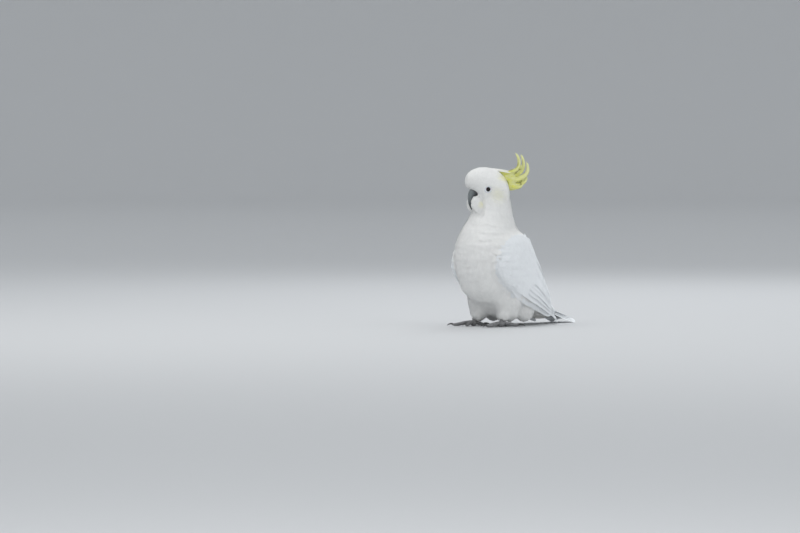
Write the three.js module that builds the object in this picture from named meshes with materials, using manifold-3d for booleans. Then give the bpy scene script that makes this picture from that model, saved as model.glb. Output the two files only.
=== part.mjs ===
// A sulphur-crested cockatoo (Cacatua galerita) at life size, standing with its head turned to its right,
// its wings folded and its tail laid on the floor. Millimetres, +Z up, the bird faces -Y, its left is +X.
// Every solid ends at the tips of the feathers. Neighbours meet across a gap of CLEARANCE.
import * as THREE from "three";
import { mergeVertices } from "three/addons/utils/BufferGeometryUtils.js";
import Module from "manifold-3d";

const wasm = await Module();
wasm.setup();

// ---------------------------------------------------------------- driving dimensions
const CLEARANCE = 0.3; // gap between two pieces that meet
const FLOOR = 0; // level that the soles, claws and tail rest on
const BEYOND = 400; // reach of a cutting box, past the ends of the bird
const SIDES = { left: 1, right: -1 };

// Facets of each kind of piece: [along it, around it]
const FACETS = {
  body: [18, 18],
  vent: [5, 8],
  head: [15, 18],
  cheek: [7, 10],
  eye: [7, 11],
  upperBill: [11, 10],
  lowerBill: [5, 8],
  crestFeather: [7, 6],
  crestCover: [5, 7],
  crestBase: [6, 8],
  wing: [14, 14],
  primary: [5, 6],
  tailFeather: [5, 7],
  thigh: [6, 8],
  shank: [4, 8],
  palm: [6, 10],
  toe: [7, 6],
  claw: [5, 6],
};
// Share of a piece's length that is rounded off: [at its start, at its end]
const ROUNDED = {
  body: [0.04, 0.12],
  head: [0.1, 0.14],
  bill: [0.08, 0.1],
  wing: [0.1, 0.16],
  blade: [0.12, 0.3],
};

// Body: one loft from inside the head down to the root of the tail. Each station is a slanting section from
// a point of the breast line to a point of the back line.
// [breast y, breast z, back y, back z, half width, turn towards the head in degrees, squareness]
// A squareness of 2 is an ellipse.
const BODY_STATIONS = [
  [-46, 304, 18, 312, 22, 28, 2],
  [-54, 276, 28, 284, 31, 24, 2],
  [-60, 248, 35, 256, 37, 16, 2.1],
  [-82, 216, 40, 228, 47, 6, 2.3],
  [-98, 184, 56, 202, 60, 0, 2.6],
  [-102, 147, 80, 173, 62, 0, 2.7],
  [-95, 107, 101, 140, 61, 0, 2.6],
  [-76, 68, 122, 105, 56, 0, 2.4],
  [-28, 45, 143, 76, 46, 0, 2.2],
  [54, 36, 163, 55, 32, 0, 2.2],
  [118, 27, 184, 38, 20, 0, 2.2],
];
// Loose feathers under the belly and under the tail: [y, z, radius across, along the bird, up]
const VENT_PUFFS = [
  [22, 37, 17, 42, 22],
  [106, 31, 17, 56, 20],
  [160, 24.5, 14, 44, 14],
];
const NECK = { axisY: -22, frontY: -62, backY: 40 }; // the axis it turns about, throat and nape
const NECK_TOP = { front: 249, back: 266 }; // heights where the cut under the head meets throat and nape
const NECK_BASE = { front: 206, back: 226 }; // the same for the cut above the shoulders

// Head, in its own frame: p forwards, q to its left, z up, turned about the neck.
const HEAD = { x: 0, y: -27.5, turn: 30 };
// [p, top z, bottom z, half width]
const HEAD_STATIONS = [
  [49, 323, 313, 6],
  [45.5, 334, 304, 15],
  [36, 343, 299, 20.5],
  [24, 348, 286, 23],
  [10, 350, 260, 25],
  [-8, 348.5, 250, 27],
  [-26, 341, 248, 28.5],
  [-42, 325, 254, 25],
  [-53, 303, 276, 9],
];
const CHEEK = { p: 27, q: 13, z: 270, radii: [16, 9.5, 20] };
const EYE = { p: 6, q: 21.4, z: 301.5, radius: 6 };

// Bill: [outer p, outer z, inner p, inner z, half width] from the cere to the tip of the hook.
const BILL_STATIONS = [
  [27, 306, 15, 290, 10.5],
  [36, 303.5, 19, 287, 10.8],
  [42, 295, 24, 281, 10],
  [43.8, 283, 29, 275, 8],
  [42.5, 270, 33, 267, 5.2],
  [38, 260, 34.5, 260, 2.4],
  [35.5, 256, 34.5, 256, 0.8],
];
const BILL_SQUARENESS = 0.85; // power on the section's width: below 1 is fuller than an ellipse
const CERE_LENGTH = 0.2; // share of the bill, from its root
const LOWER_BILL_STATIONS = [
  [12, 270, 12, 256, 8.5],
  [20, 269, 19, 253, 9.5],
  [29, 267.5, 26, 255, 8.5],
  [33.5, 266, 32, 258, 5],
];

// Crest, in the head's frame: [root p, z, first handle p, z, second handle p, z, tip p, z, offset q, width]
const CREST_FEATHERS = [
  [-14, 339, -56, 333, -80, 344, -73, 365, 3.5, 10],
  [-16, 339, -60, 326, -90, 346, -67, 382, 0, 12],
  [-22, 335, -64, 317, -101, 338, -82, 378, -3, 13],
  [-28, 330, -64, 311, -105, 324, -94, 362, 2.5, 14],
  [-34, 324, -62, 304, -92, 307, -93, 331, -2, 14],
  [-39, 318, -58, 302, -78, 303, -82, 313, 2, 13],
  [-42, 312, -54, 301, -62, 300, -68, 305, -1, 9],
];
const CREST_THICKNESS = 3.4;
const CREST_SPREAD = { root: 0.4, tip: 1.5 }; // share of the offset q at the two ends of a feather
const CREST_BASE = { p: -54, z: 320, radii: [15, 6, 20] }; // overlapping roots behind the crown
const CREST_COVER = { from: [10, 341.5], over: [-24, 342], to: [-57, 336], height: 7, width: 17 };

// Wings: [lower edge x, y, z, upper edge x, y, z, outer bulge, inner depth] from the bend to the tip.
const WING_STATIONS = [
  [60, -76, 150, 58, -68, 178, 2, 5],
  [63, -69, 124, 57, -34, 200, 11, 14],
  [65, -51, 100, 54, 14, 208, 16, 20],
  [65, -22, 82, 40, 57, 199, 20, 24],
  [63, 16, 59, 21, 92, 172, 25, 24],
  [58, 62, 43, 13, 119, 137, 24, 20],
  [51, 105, 31, 11, 141, 102, 18, 9],
  [43, 145, 20, 17, 159, 68, 11, 4],
  [37, 172, 9, 28, 177, 32, 4, 2],
];
const WING_SQUARENESS = 0.8; // power on the section's thickness: below 1 is fuller than an ellipse
const WING_SPLIT = { share: 0.72, lean: 0.6 }; // where the free primaries start, and the cut's lean
// Free tips of the flight feathers: [root x, y, z, tip x, y, z, width]
const PRIMARY_TIPS = [
  [50, 105, 42, 34, 187, 5, 15],
  [46, 110, 58, 33, 182, 22, 16],
  [40, 108, 75, 30, 172, 42, 17],
];
const PRIMARY = { thickness: 4.8, bowOut: 4, bowUp: 2 };

// Tail: feathers from the middle outwards.
const TAIL = {
  pairs: 3,
  root: { y: 132, z: 52 },
  knee: { y: 208, z: 20 },
  tip: { y: 268, z: 2.6 },
  rootHalfWidth: 12,
  tipHalfWidth: 24,
  featherWidth: 20,
  thickness: 5,
  outerShortening: 9,
  outerDrop: 3.2,
  roof: 0.18, // slope of the outermost feathers, like a shallow roof
};

// Legs: the feathered thigh, the bare shank and the foot with two toes forwards and two back.
// [centre x, y, z, radius across, along the bird, up]
const THIGH_PUFFS = [
  [37, -3, 49, 26, 28, 41],
  [38, 46, 31, 18, 28, 24],
];
// The belly's feathers run down on to each thigh, and between the thighs on to the vent
const THIGH_TOP = [25, -35, 78, 18, 21, 16];
const APRON_TOP = [-30, 74, 20, 22, 16]; // in the middle plane: y, z and radii
const ANKLE_FLUFF = { inwards: 4, behind: 11, z: 25, radii: [16, 17, 16] }; // placed from the palm
const STRIDE = { left: 11, right: -2 }; // how far back each thigh sits
const PALM = { left: { x: 38, y: -24 }, right: { x: 38, y: -26 } };
const FOOT_TURN = { left: -13, right: 8 }; // outwards, in degrees
const SHANK = { heelY: 11, heelZ: 26, radius: 5.4, rootZ: 11 };
// [turn outwards from straight ahead in degrees, length, radius]
const TOES = [
  { name: "inner_front", turn: -17, length: 36, radius: 4.3 },
  { name: "outer_front", turn: 15, length: 54, radius: 4.5 },
  { name: "outer_back", turn: 154, length: 41, radius: 4.3 },
  { name: "inner_back", turn: -158, length: 27, radius: 4.1 },
];
const FOOT = {
  palmZ: 7,
  palmRadii: [8.5, 9, 7.4],
  press: 0.5, // how far a toe is flattened on the floor
  arch: [[0, 5.1], [0.3, 4.5], [0.6, 1.4], [0.85, 0], [1, 0]], // [share of the toe, rise]
  taper: 0.18,
  pads: 3,
  padSwell: 0.07,
};
const CLAW = { length: 14, rise: 3, radius: 2.5, rooted: 4, flatness: 0.8, tipZ: 0.8 };

// ---------------------------------------------------------------- colours and finishes
const finish = {
  feather: { color: 0xf1f2f0, roughness: 0.85 },
  wing: { color: 0xe9ecef, roughness: 0.8 },
  crest: { color: 0xe4e46a, roughness: 0.8 },
  bill: { color: 0x3a3f44, roughness: 0.5 },
  cere: { color: 0x2c2f33, roughness: 0.7 },
  eye: { color: 0x120d0b, roughness: 0.08 },
  leg: { color: 0x6b6e70, roughness: 0.8 },
  claw: { color: 0x2b2a2a, roughness: 0.45 },
};

// ---------------------------------------------------------------- shapes
/** The row of a table at t, from 0 at its first row to 1 at its last, on a smooth curve through the rows. */
function stationAt(rows, t) {
  const place = THREE.MathUtils.clamp(t, 0, 1) * (rows.length - 1);
  const i = Math.min(Math.floor(place), rows.length - 2);
  const f = place - i;
  const row = (k) => rows[THREE.MathUtils.clamp(k, 0, rows.length - 1)];
  return rows[i].map((value, column) => {
    const before = i > 0 ? row(i - 1)[column] : 2 * value - row(i + 1)[column];
    const next = row(i + 1)[column];
    const after = i + 2 < rows.length ? row(i + 2)[column] : 2 * next - value;
    const slope0 = (next - before) / 2;
    const slope1 = (after - value) / 2;
    return (
      (2 * f ** 3 - 3 * f ** 2 + 1) * value +
      (f ** 3 - 2 * f ** 2 + f) * slope0 +
      (3 * f ** 2 - 2 * f ** 3) * next +
      (f ** 3 - f ** 2) * slope1
    );
  });
}

/** Turns a closed geometry into a solid that faces out. */
function solidOf(geometry) {
  geometry.deleteAttribute("normal");
  geometry.deleteAttribute("uv");
  const merged = mergeVertices(geometry, 1e-4);
  const vertices = merged.attributes.position.array;
  const triangles = new Uint32Array(merged.index.array);
  let volume = 0;
  const corner = (i) => new THREE.Vector3().fromArray(vertices, 3 * triangles[i]);
  for (let i = 0; i < triangles.length; i += 3)
    volume += corner(i).dot(corner(i + 1).cross(corner(i + 2)));
  if (volume < 0)
    for (let i = 0; i < triangles.length; i += 3)
      [triangles[i + 1], triangles[i + 2]] = [triangles[i + 2], triangles[i + 1]];
  return new wasm.Manifold(
    new wasm.Mesh({ numProp: 3, vertProperties: vertices, triVerts: triangles }),
  );
}

/** A closed solid over a function of t, 0 to 1 along it, and an angle round it. Each end is one point. */
function loft(pointAt, [along, around]) {
  const geometry = new THREE.SphereGeometry(1, around, along);
  const { position, uv } = geometry.attributes;
  for (let i = 0; i < position.count; i++) {
    const t = (1 - Math.cos(Math.PI * (1 - uv.getY(i)))) / 2;
    const angle = 2 * Math.PI * Math.round(uv.getX(i) * around) / around;
    const p = pointAt(t, angle % (2 * Math.PI));
    position.setXYZ(i, p.x, p.y, p.z);
  }
  return solidOf(geometry);
}

/** How full a section is near the ends: 0 at an end, 1 once past the rounded part. */
const fullness = (t, [start, end]) => {
  const near = Math.min(1, t / start, (1 - t) / end);
  return Math.sqrt(Math.max(0, 1 - (1 - near) ** 2));
};

const power = (value, exponent) => Math.sign(value) * Math.abs(value) ** exponent;

/** An ellipsoid at a point. */
function ellipsoid(centre, radii, [along, around]) {
  const geometry = new THREE.SphereGeometry(1, around, along);
  geometry.scale(...radii).translate(centre.x, centre.y, centre.z);
  return solidOf(geometry);
}

/** A box between two corners. */
function box(low, high) {
  const size = high.map((value, axis) => value - low[axis]);
  const middle = high.map((value, axis) => (value + low[axis]) / 2);
  return solidOf(new THREE.BoxGeometry(...size).translate(...middle));
}

/** A tube along a curve, with its half width, half thickness and flat direction given along it. */
function blade(curve, halfWidth, halfThickness, flat, facets, grow = 0) {
  const side = flat.clone().normalize();
  return loft((t, angle) => {
    const centre = curve.getPoint(t);
    const up = curve.getTangent(t).cross(side).normalize();
    const full = fullness(t, ROUNDED.blade);
    return centre
      .addScaledVector(up, Math.cos(angle) * (halfWidth(t) * full + (full ? grow : 0)))
      .addScaledVector(side, Math.sin(angle) * (halfThickness(t) * full + (full ? grow : 0)));
  }, facets);
}

/** The largest of the bodies that a cut leaves. */
const mainBody = (solid) =>
  solid.decompose().reduce((a, b) => (b.volume() > a.volume() ? b : a));

/** Cuts a solid off at the floor. */
const onFloor = (solid) =>
  solid.subtract(box([-BEYOND, -BEYOND, FLOOR - BEYOND], [BEYOND, BEYOND, FLOOR]));

// ---------------------------------------------------------------- head frame
const headForward = new THREE.Vector3(
  -Math.sin(THREE.MathUtils.degToRad(HEAD.turn)),
  -Math.cos(THREE.MathUtils.degToRad(HEAD.turn)),
  0,
);
const headLeft = new THREE.Vector3(-headForward.y, headForward.x, 0);

/** A point of the head's frame in the bird's frame. */
const onHead = (p, q, z) =>
  new THREE.Vector3(HEAD.x, HEAD.y, z).addScaledVector(headForward, p).addScaledVector(headLeft, q);

// ---------------------------------------------------------------- sub-parts
function bodyLoft(grow = 0) {
  const neck = new THREE.Vector3(0, NECK.axisY, 0);
  const upright = new THREE.Vector3(0, 0, 1);
  return loft((t, angle) => {
    const [frontY, frontZ, backY, backZ, half, turn, square] = stationAt(BODY_STATIONS, t);
    const full = fullness(t, ROUNDED.body);
    const axis = new THREE.Vector3(0, backY - frontY, backZ - frontZ).multiplyScalar(0.5);
    const depth = full ? axis.length() * full + grow : 0;
    const across = power(Math.sin(angle), 2 / square) * (full ? half * full + grow : 0);
    const point = new THREE.Vector3(across, (frontY + backY) / 2, (frontZ + backZ) / 2);
    point.addScaledVector(axis.normalize(), power(Math.cos(angle), 2 / square) * depth);
    return point.sub(neck).applyAxisAngle(upright, -THREE.MathUtils.degToRad(turn)).add(neck);
  }, FACETS.body);
}

/** The body with the loose feathers under it. */
function body(grow = 0) {
  const puff = ([y, z, ...radii]) =>
    ellipsoid(new THREE.Vector3(0, y, z), radii.map((radius) => radius + grow), FACETS.vent);
  const puffs = VENT_PUFFS.map(puff);
  puffs[0] = puffs[0].add(puff(APRON_TOP)).hull();
  return puffs.reduce((solid, made) => solid.add(made), bodyLoft(grow));
}

function headLoft(grow = 0) {
  const skull = loft((t, angle) => {
    const [p, top, bottom, half] = stationAt(HEAD_STATIONS, t);
    const full = fullness(t, ROUNDED.head);
    const height = ((top - bottom) / 2) * full + (full ? grow : 0);
    const across = Math.sin(angle) * (half * full + (full ? grow : 0));
    return onHead(p, across, (top + bottom) / 2 + Math.cos(angle) * height);
  }, FACETS.head);
  return Object.values(SIDES).reduce((solid, side) => solid.add(cheek(side, grow)), skull);
}

/** An ellipsoid whose axes are those of the head. */
function headEllipsoid({ p: centreP, z: centreZ, radii }, centreQ, facets, grow) {
  const [long, wide, high] = radii;
  return loft((t, angle) => {
    const ring = Math.sin(Math.PI * t);
    const p = centreP + Math.cos(angle) * ring * (long + grow);
    const q = centreQ + Math.sin(angle) * ring * (wide + grow);
    return onHead(p, q, centreZ + Math.cos(Math.PI * t) * (high + grow));
  }, facets);
}

const cheek = (side, grow) => headEllipsoid(CHEEK, side * CHEEK.q, FACETS.cheek, grow);

function eye(side, grow = 0) {
  const size = EYE.radius + grow;
  return ellipsoid(onHead(EYE.p, side * EYE.q, EYE.z), [size, size, size], FACETS.eye);
}

/** One half of the bill, from a table of its outer and inner edges in the head's middle plane. */
function billLoft(stations, grow, facets) {
  return loft((t, angle) => {
    const [outerP, outerZ, innerP, innerZ, half] = stationAt(stations, t);
    const full = fullness(t, ROUNDED.bill);
    const deep = Math.cos(angle) * full;
    const wide = power(Math.sin(angle), BILL_SQUARENESS) * full;
    const length = Math.hypot(outerP - innerP, outerZ - innerZ) / 2;
    const reach = deep * (1 + grow / length);
    const p = (outerP + innerP) / 2 + ((outerP - innerP) / 2) * reach;
    const z = (outerZ + innerZ) / 2 + ((outerZ - innerZ) / 2) * reach;
    return onHead(p, wide * (half + grow), z);
  }, facets);
}

const upperBill = (grow = 0) => billLoft(BILL_STATIONS, grow, FACETS.upperBill);
const lowerBill = (grow = 0) => billLoft(LOWER_BILL_STATIONS, grow, FACETS.lowerBill);

/** Everything of the upper bill behind the front edge of the cere. */
function cereRegion(gap) {
  const [outerP, outerZ, innerP, innerZ] = stationAt(BILL_STATIONS, CERE_LENGTH);
  const lean = Math.atan2(outerZ - innerZ, outerP - innerP);
  const slab = new THREE.BoxGeometry(2 * BEYOND, BEYOND, 2 * BEYOND)
    .translate(0, BEYOND / 2 + gap, 0)
    .rotateX(Math.PI / 2)
    .rotateY(-Math.PI / 2);
  const inHead = new THREE.Matrix4().makeBasis(
    headForward,
    headLeft,
    new THREE.Vector3(0, 0, 1),
  );
  const turn = new THREE.Matrix4().makeRotationY(-lean + Math.PI / 2);
  const centre = onHead((outerP + innerP) / 2, 0, (outerZ + innerZ) / 2);
  slab.applyMatrix4(turn).applyMatrix4(inHead).translate(centre.x, centre.y, centre.z);
  return solidOf(slab);
}

function crestFeather([rootP, rootZ, p1, z1, p2, z2, tipP, tipZ, q, width], grow) {
  const curve = new THREE.CubicBezierCurve3(
    onHead(rootP, q * CREST_SPREAD.root, rootZ),
    onHead(p1, q, z1),
    onHead(p2, q, z2),
    onHead(tipP, q * CREST_SPREAD.tip, tipZ),
  );
  const half = (t) => (width / 2) * (0.75 + 0.45 * t - 0.5 * t * t);
  const thin = (t) => (CREST_THICKNESS / 2) * (1.5 - 0.9 * t);
  return blade(curve, half, thin, headLeft, FACETS.crestFeather, grow);
}

function crest(grow = 0) {
  const { from, over, to, height, width } = CREST_COVER;
  const path = new THREE.QuadraticBezierCurve3(
    onHead(from[0], 0, from[1]),
    onHead(over[0], 0, over[1]),
    onHead(to[0], 0, to[1]),
  );
  const taper = (t) => 1 - 0.45 * t;
  const halfHeight = (t) => (height / 2) * taper(t);
  const halfWidth = (t) => (width / 2) * taper(t);
  const cover = blade(path, halfHeight, halfWidth, headLeft, FACETS.crestCover, grow);
  const rooted = cover.add(headEllipsoid(CREST_BASE, 0, FACETS.crestBase, grow));
  return CREST_FEATHERS.reduce((solid, feather) => solid.add(crestFeather(feather, grow)), rooted);
}

/** The lower edge, chord and thickness of the left wing at a share of its length. */
function wingSection(t) {
  const [lx, ly, lz, ux, uy, uz, bulge, depth] = stationAt(WING_STATIONS, t);
  const lower = new THREE.Vector3(lx, ly, lz);
  const chord = new THREE.Vector3(ux, uy, uz).sub(lower);
  return { lower, chord, bulge, depth };
}

/** The direction out of the left wing's face at a share of its length. */
function wingOutward(t) {
  const step = 0.02;
  const middle = (share) => {
    const { lower, chord } = wingSection(THREE.MathUtils.clamp(share, 0, 1));
    return lower.addScaledVector(chord, 0.5);
  };
  const along = middle(t + step).sub(middle(t - step));
  const outward = wingSection(t).chord.cross(along).normalize();
  return outward.x < 0 ? outward.negate() : outward;
}

function wingLoft(side, grow = 0) {
  return loft((t, angle) => {
    const { lower, chord, bulge, depth } = wingSection(t);
    const full = fullness(t, ROUNDED.wing);
    const lift = power(Math.sin(angle), WING_SQUARENESS);
    const out = ((lift > 0 ? bulge : depth) + grow) * lift * full;
    const share = 0.5 - 0.5 * Math.cos(angle) * full * (1 + (2 * grow) / chord.length());
    const point = lower.addScaledVector(chord, share).addScaledVector(wingOutward(t), out);
    point.x *= side;
    return point;
  }, FACETS.wing);
}

/** The free tips of the flight feathers, joined to one another at their roots. */
function primaryTips(side, grow = 0) {
  const feathers = PRIMARY_TIPS.map(([rx, ry, rz, tx, ty, tz, width]) => {
    const root = new THREE.Vector3(side * rx, ry, rz);
    const tip = new THREE.Vector3(side * tx, ty, tz);
    const bow = new THREE.Vector3(side * PRIMARY.bowOut, 0, PRIMARY.bowUp);
    const curve = new THREE.QuadraticBezierCurve3(root, root.clone().lerp(tip, 0.5).add(bow), tip);
    const face = new THREE.Vector3(side, 0.25, 0.1);
    const half = (t) => (width / 2) * (1 - 0.3 * t);
    return blade(curve, half, () => PRIMARY.thickness / 2, face, FACETS.primary, grow);
  });
  return feathers.reduce((solid, feather) => solid.add(feather));
}

/** Everything further back than the place where the flight feathers come free. */
function beyondWingSplit(gap) {
  const [, y, z] = stationAt(WING_STATIONS, WING_SPLIT.share);
  const slab = new THREE.BoxGeometry(2 * BEYOND, BEYOND, 2 * BEYOND)
    .translate(0, BEYOND / 2 + gap, 0)
    .rotateX(-WING_SPLIT.lean)
    .translate(0, y, z);
  return solidOf(slab);
}

function tail(grow = 0) {
  const count = 2 * TAIL.pairs;
  const feathers = Array.from({ length: count }, (_, i) => {
    const place = (2 * i) / (count - 1) - 1;
    const shorter = TAIL.outerShortening * place ** 2;
    const drop = TAIL.outerDrop * Math.abs(place);
    const kneeHalfWidth = (TAIL.rootHalfWidth + TAIL.tipHalfWidth) / 2;
    const curve = new THREE.QuadraticBezierCurve3(
      new THREE.Vector3(place * TAIL.rootHalfWidth, TAIL.root.y, TAIL.root.z - drop),
      new THREE.Vector3(place * kneeHalfWidth, TAIL.knee.y, TAIL.knee.z - drop),
      new THREE.Vector3(place * TAIL.tipHalfWidth, TAIL.tip.y - shorter, TAIL.tip.z),
    );
    const across = new THREE.Vector3(1, 0, -TAIL.roof * place);
    const thick = (t) => (TAIL.thickness / 2) * (1.5 - 0.6 * t);
    return blade(curve, thick, () => TAIL.featherWidth / 2, across, FACETS.tailFeather, grow);
  });
  return feathers.reduce((solid, feather) => solid.add(feather));
}

function thigh(name, grow = 0) {
  const { inwards, behind, z: low, radii: lowRadii } = ANKLE_FLUFF;
  const rows = THIGH_PUFFS.map(([x, y, ...rest]) => [x, STRIDE[name] + y, ...rest]);
  rows.push([PALM[name].x - inwards, PALM[name].y + behind, low, ...lowRadii]);
  const puff = ([x, y, z, ...radii]) => {
    const grown = radii.map((radius) => radius + grow);
    return ellipsoid(new THREE.Vector3(SIDES[name] * x, y, z), grown, FACETS.thigh);
  };
  const puffs = rows.map(puff);
  puffs[0] = puffs[0].add(puff(THIGH_TOP)).hull();
  return puffs.reduce((solid, made) => solid.add(made));
}

const footRoot = (name) =>
  new THREE.Vector3(SIDES[name] * PALM[name].x, PALM[name].y, SHANK.rootZ);

function shank(name, grow = 0) {
  const root = footRoot(name);
  const heel = root.clone().add(new THREE.Vector3(0, SHANK.heelY, SHANK.heelZ));
  const curve = new THREE.LineCurve3(root, heel);
  const thick = () => SHANK.radius;
  return blade(curve, thick, thick, new THREE.Vector3(1, 0, 0), FACETS.shank, grow);
}

/** Unit vector on the floor for a toe: its turn is measured outwards from straight ahead. */
function toeDirection(name, toe) {
  const turn = THREE.MathUtils.degToRad(toe.turn + FOOT_TURN[name]);
  return new THREE.Vector3(SIDES[name] * Math.sin(turn), -Math.cos(turn), 0);
}

function toeSolid(name, toe, grow = 0) {
  const root = footRoot(name);
  const way = toeDirection(name, toe);
  const sole = toe.radius - FOOT.press;
  const curve = new THREE.CatmullRomCurve3(
    FOOT.arch.map(([share, rise]) =>
      root.clone().addScaledVector(way, toe.length * share).setZ(sole + rise),
    ),
  );
  const pads = (t) =>
    toe.radius * (1 - FOOT.taper * t + FOOT.padSwell * Math.cos(2 * Math.PI * FOOT.pads * t));
  return blade(curve, pads, pads, new THREE.Vector3(-way.y, way.x, 0), FACETS.toe, grow);
}

function foot(name, grow = 0) {
  const grown = FOOT.palmRadii.map((radius) => radius + grow);
  const palm = ellipsoid(footRoot(name).setZ(FOOT.palmZ), grown, FACETS.palm);
  return TOES.reduce((solid, toe) => solid.add(toeSolid(name, toe, grow)), palm);
}

function claw(name, toe) {
  const way = toeDirection(name, toe);
  const from = footRoot(name).addScaledVector(way, toe.length - CLAW.rooted);
  const at = (share, z) => from.clone().addScaledVector(way, CLAW.length * share).setZ(z);
  const curve = new THREE.CubicBezierCurve3(
    at(0, toe.radius + 0.5),
    at(0.45, toe.radius + CLAW.rise),
    at(1.05, toe.radius + CLAW.rise - 1),
    at(1.2, FLOOR + CLAW.tipZ),
  );
  const deep = (t) => CLAW.radius * (1 - 0.7 * t);
  const wide = (t) => CLAW.flatness * deep(t);
  return blade(curve, deep, wide, new THREE.Vector3(-way.y, way.x, 0), FACETS.claw);
}

// ---------------------------------------------------------------- cuts between the parts of the body
/** Everything above a slanting level, given by its heights at the front and back of the neck. */
function above({ front, back }, lift) {
  const { frontY, backY } = NECK;
  const lean = Math.atan2(back - front, backY - frontY);
  const slab = new THREE.BoxGeometry(2 * BEYOND, 2 * BEYOND, BEYOND)
    .translate(0, 0, BEYOND / 2 + lift)
    .rotateX(lean)
    .translate(0, (frontY + backY) / 2, (front + back) / 2);
  return solidOf(slab);
}

// ---------------------------------------------------------------- assembly
const bird = new THREE.Group();

/** Adds a solid to the bird as a named mesh. */
function addNode(name, solid, look) {
  const { numProp, numVert, vertProperties, triVerts } = mainBody(solid).getMesh();
  const positions = new Float32Array(3 * numVert);
  for (let i = 0; i < numVert; i++)
    positions.set(vertProperties.subarray(i * numProp, i * numProp + 3), 3 * i);
  const geometry = new THREE.BufferGeometry();
  geometry.setAttribute("position", new THREE.BufferAttribute(positions, 3));
  geometry.setIndex(new THREE.BufferAttribute(triVerts, 1));
  geometry.computeVertexNormals();
  const mesh = new THREE.Mesh(geometry, new THREE.MeshStandardMaterial({ ...look, metalness: 0 }));
  mesh.name = name;
  bird.add(mesh);
}

const flesh = body().add(headLoft());
const fleshGrown = body(CLEARANCE).add(headLoft(CLEARANCE));
const names = Object.keys(SIDES);

const headCuts = [upperBill(CLEARANCE), lowerBill(CLEARANCE)].concat(
  names.map((name) => eye(SIDES[name], CLEARANCE)),
);
const head = headCuts.reduce(
  (solid, cut) => solid.subtract(cut),
  flesh.intersect(above(NECK_TOP, CLEARANCE / 2)),
);
addNode("head", head, finish.feather);
addNode(
  "neck",
  flesh.intersect(above(NECK_BASE, CLEARANCE / 2)).subtract(above(NECK_TOP, -CLEARANCE / 2)),
  finish.feather,
);

const tailGrown = tail(CLEARANCE);
const trunk = flesh.subtract(above(NECK_BASE, -CLEARANCE / 2)).subtract(tailGrown);
addNode("trunk", onFloor(trunk), finish.feather);

addNode("cere", upperBill().intersect(cereRegion(CLEARANCE / 2)), finish.cere);
addNode("bill_upper", upperBill().subtract(cereRegion(-CLEARANCE / 2)), finish.bill);
addNode("bill_lower", lowerBill().subtract(upperBill(CLEARANCE)), finish.bill);
addNode("crest", crest().subtract(fleshGrown), finish.crest);
addNode("tail", onFloor(tail()), finish.wing);

for (const name of names) {
  const side = SIDES[name];
  addNode("eye_" + name, eye(side), finish.eye);
  const blocked = fleshGrown.add(tailGrown);
  const wing = wingLoft(side).add(primaryTips(side)).subtract(blocked);
  addNode("wing_" + name, wing.subtract(beyondWingSplit(-CLEARANCE / 2)), finish.wing);
  addNode("primaries_" + name, onFloor(wing.intersect(beyondWingSplit(CLEARANCE / 2))), finish.wing);
  const wingGrown = wingLoft(side, CLEARANCE);
  const feathered = thigh(name).subtract(fleshGrown).subtract(wingGrown);
  const thighGrown = thigh(name, CLEARANCE);
  addNode("thigh_" + name, feathered.subtract(foot(name, CLEARANCE)), finish.feather);
  const bare = shank(name).subtract(thighGrown);
  addNode("shank_" + name, bare.subtract(foot(name, CLEARANCE)), finish.leg);
  addNode("foot_" + name, onFloor(foot(name)), finish.leg);
  for (const toe of TOES) {
    const nail = claw(name, toe).subtract(foot(name, CLEARANCE));
    addNode("claw_" + name + "_" + toe.name, nail, finish.claw);
  }
}

// The origin is at the middle of the floor under the bird.
const bounds = new THREE.Box3().setFromObject(bird);
const middle = bounds.getCenter(new THREE.Vector3());
bird.position.set(-middle.x, -middle.y, -bounds.min.z);
const model = new THREE.Group();
model.add(bird);

export default model;
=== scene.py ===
"""A life-size sulphur-crested cockatoo: skin, feathers, bill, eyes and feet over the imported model."""
import math

import bmesh
import bpy
import numpy as np
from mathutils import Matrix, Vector
from mathutils.bvhtree import BVHTree
from mathutils.kdtree import KDTree


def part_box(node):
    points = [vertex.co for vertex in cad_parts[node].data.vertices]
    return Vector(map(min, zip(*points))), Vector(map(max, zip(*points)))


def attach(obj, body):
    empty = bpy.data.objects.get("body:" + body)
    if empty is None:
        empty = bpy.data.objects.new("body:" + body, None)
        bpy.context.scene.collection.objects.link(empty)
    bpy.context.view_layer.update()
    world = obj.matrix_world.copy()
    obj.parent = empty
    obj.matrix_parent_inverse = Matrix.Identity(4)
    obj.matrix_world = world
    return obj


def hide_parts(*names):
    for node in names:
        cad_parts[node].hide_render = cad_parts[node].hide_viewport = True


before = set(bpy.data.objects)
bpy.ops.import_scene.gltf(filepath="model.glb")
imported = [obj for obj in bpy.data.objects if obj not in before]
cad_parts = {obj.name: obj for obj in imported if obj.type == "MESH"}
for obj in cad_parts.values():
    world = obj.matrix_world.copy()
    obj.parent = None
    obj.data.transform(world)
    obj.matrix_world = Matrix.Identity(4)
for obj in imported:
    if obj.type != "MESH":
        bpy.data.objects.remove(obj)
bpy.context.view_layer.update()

MM = 0.001
SIDES = {"left": 1, "right": -1}
FLESH = ["head", "neck", "trunk", "thigh_left", "thigh_right", "wing_left", "wing_right"]
LEGS = ["shank_left", "shank_right", "foot_left", "foot_right"]

# ------------------------------------------------------------------ frames
EYE_FORWARD = 6 * MM  # the eyes stand this far ahead of the head's own axis
HEAD_AHEAD = 27.5 * MM  # the head's axis stands this far ahead of the bird's origin


def middle(node):
    low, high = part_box(node)
    return np.array((low + high) / 2)


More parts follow.
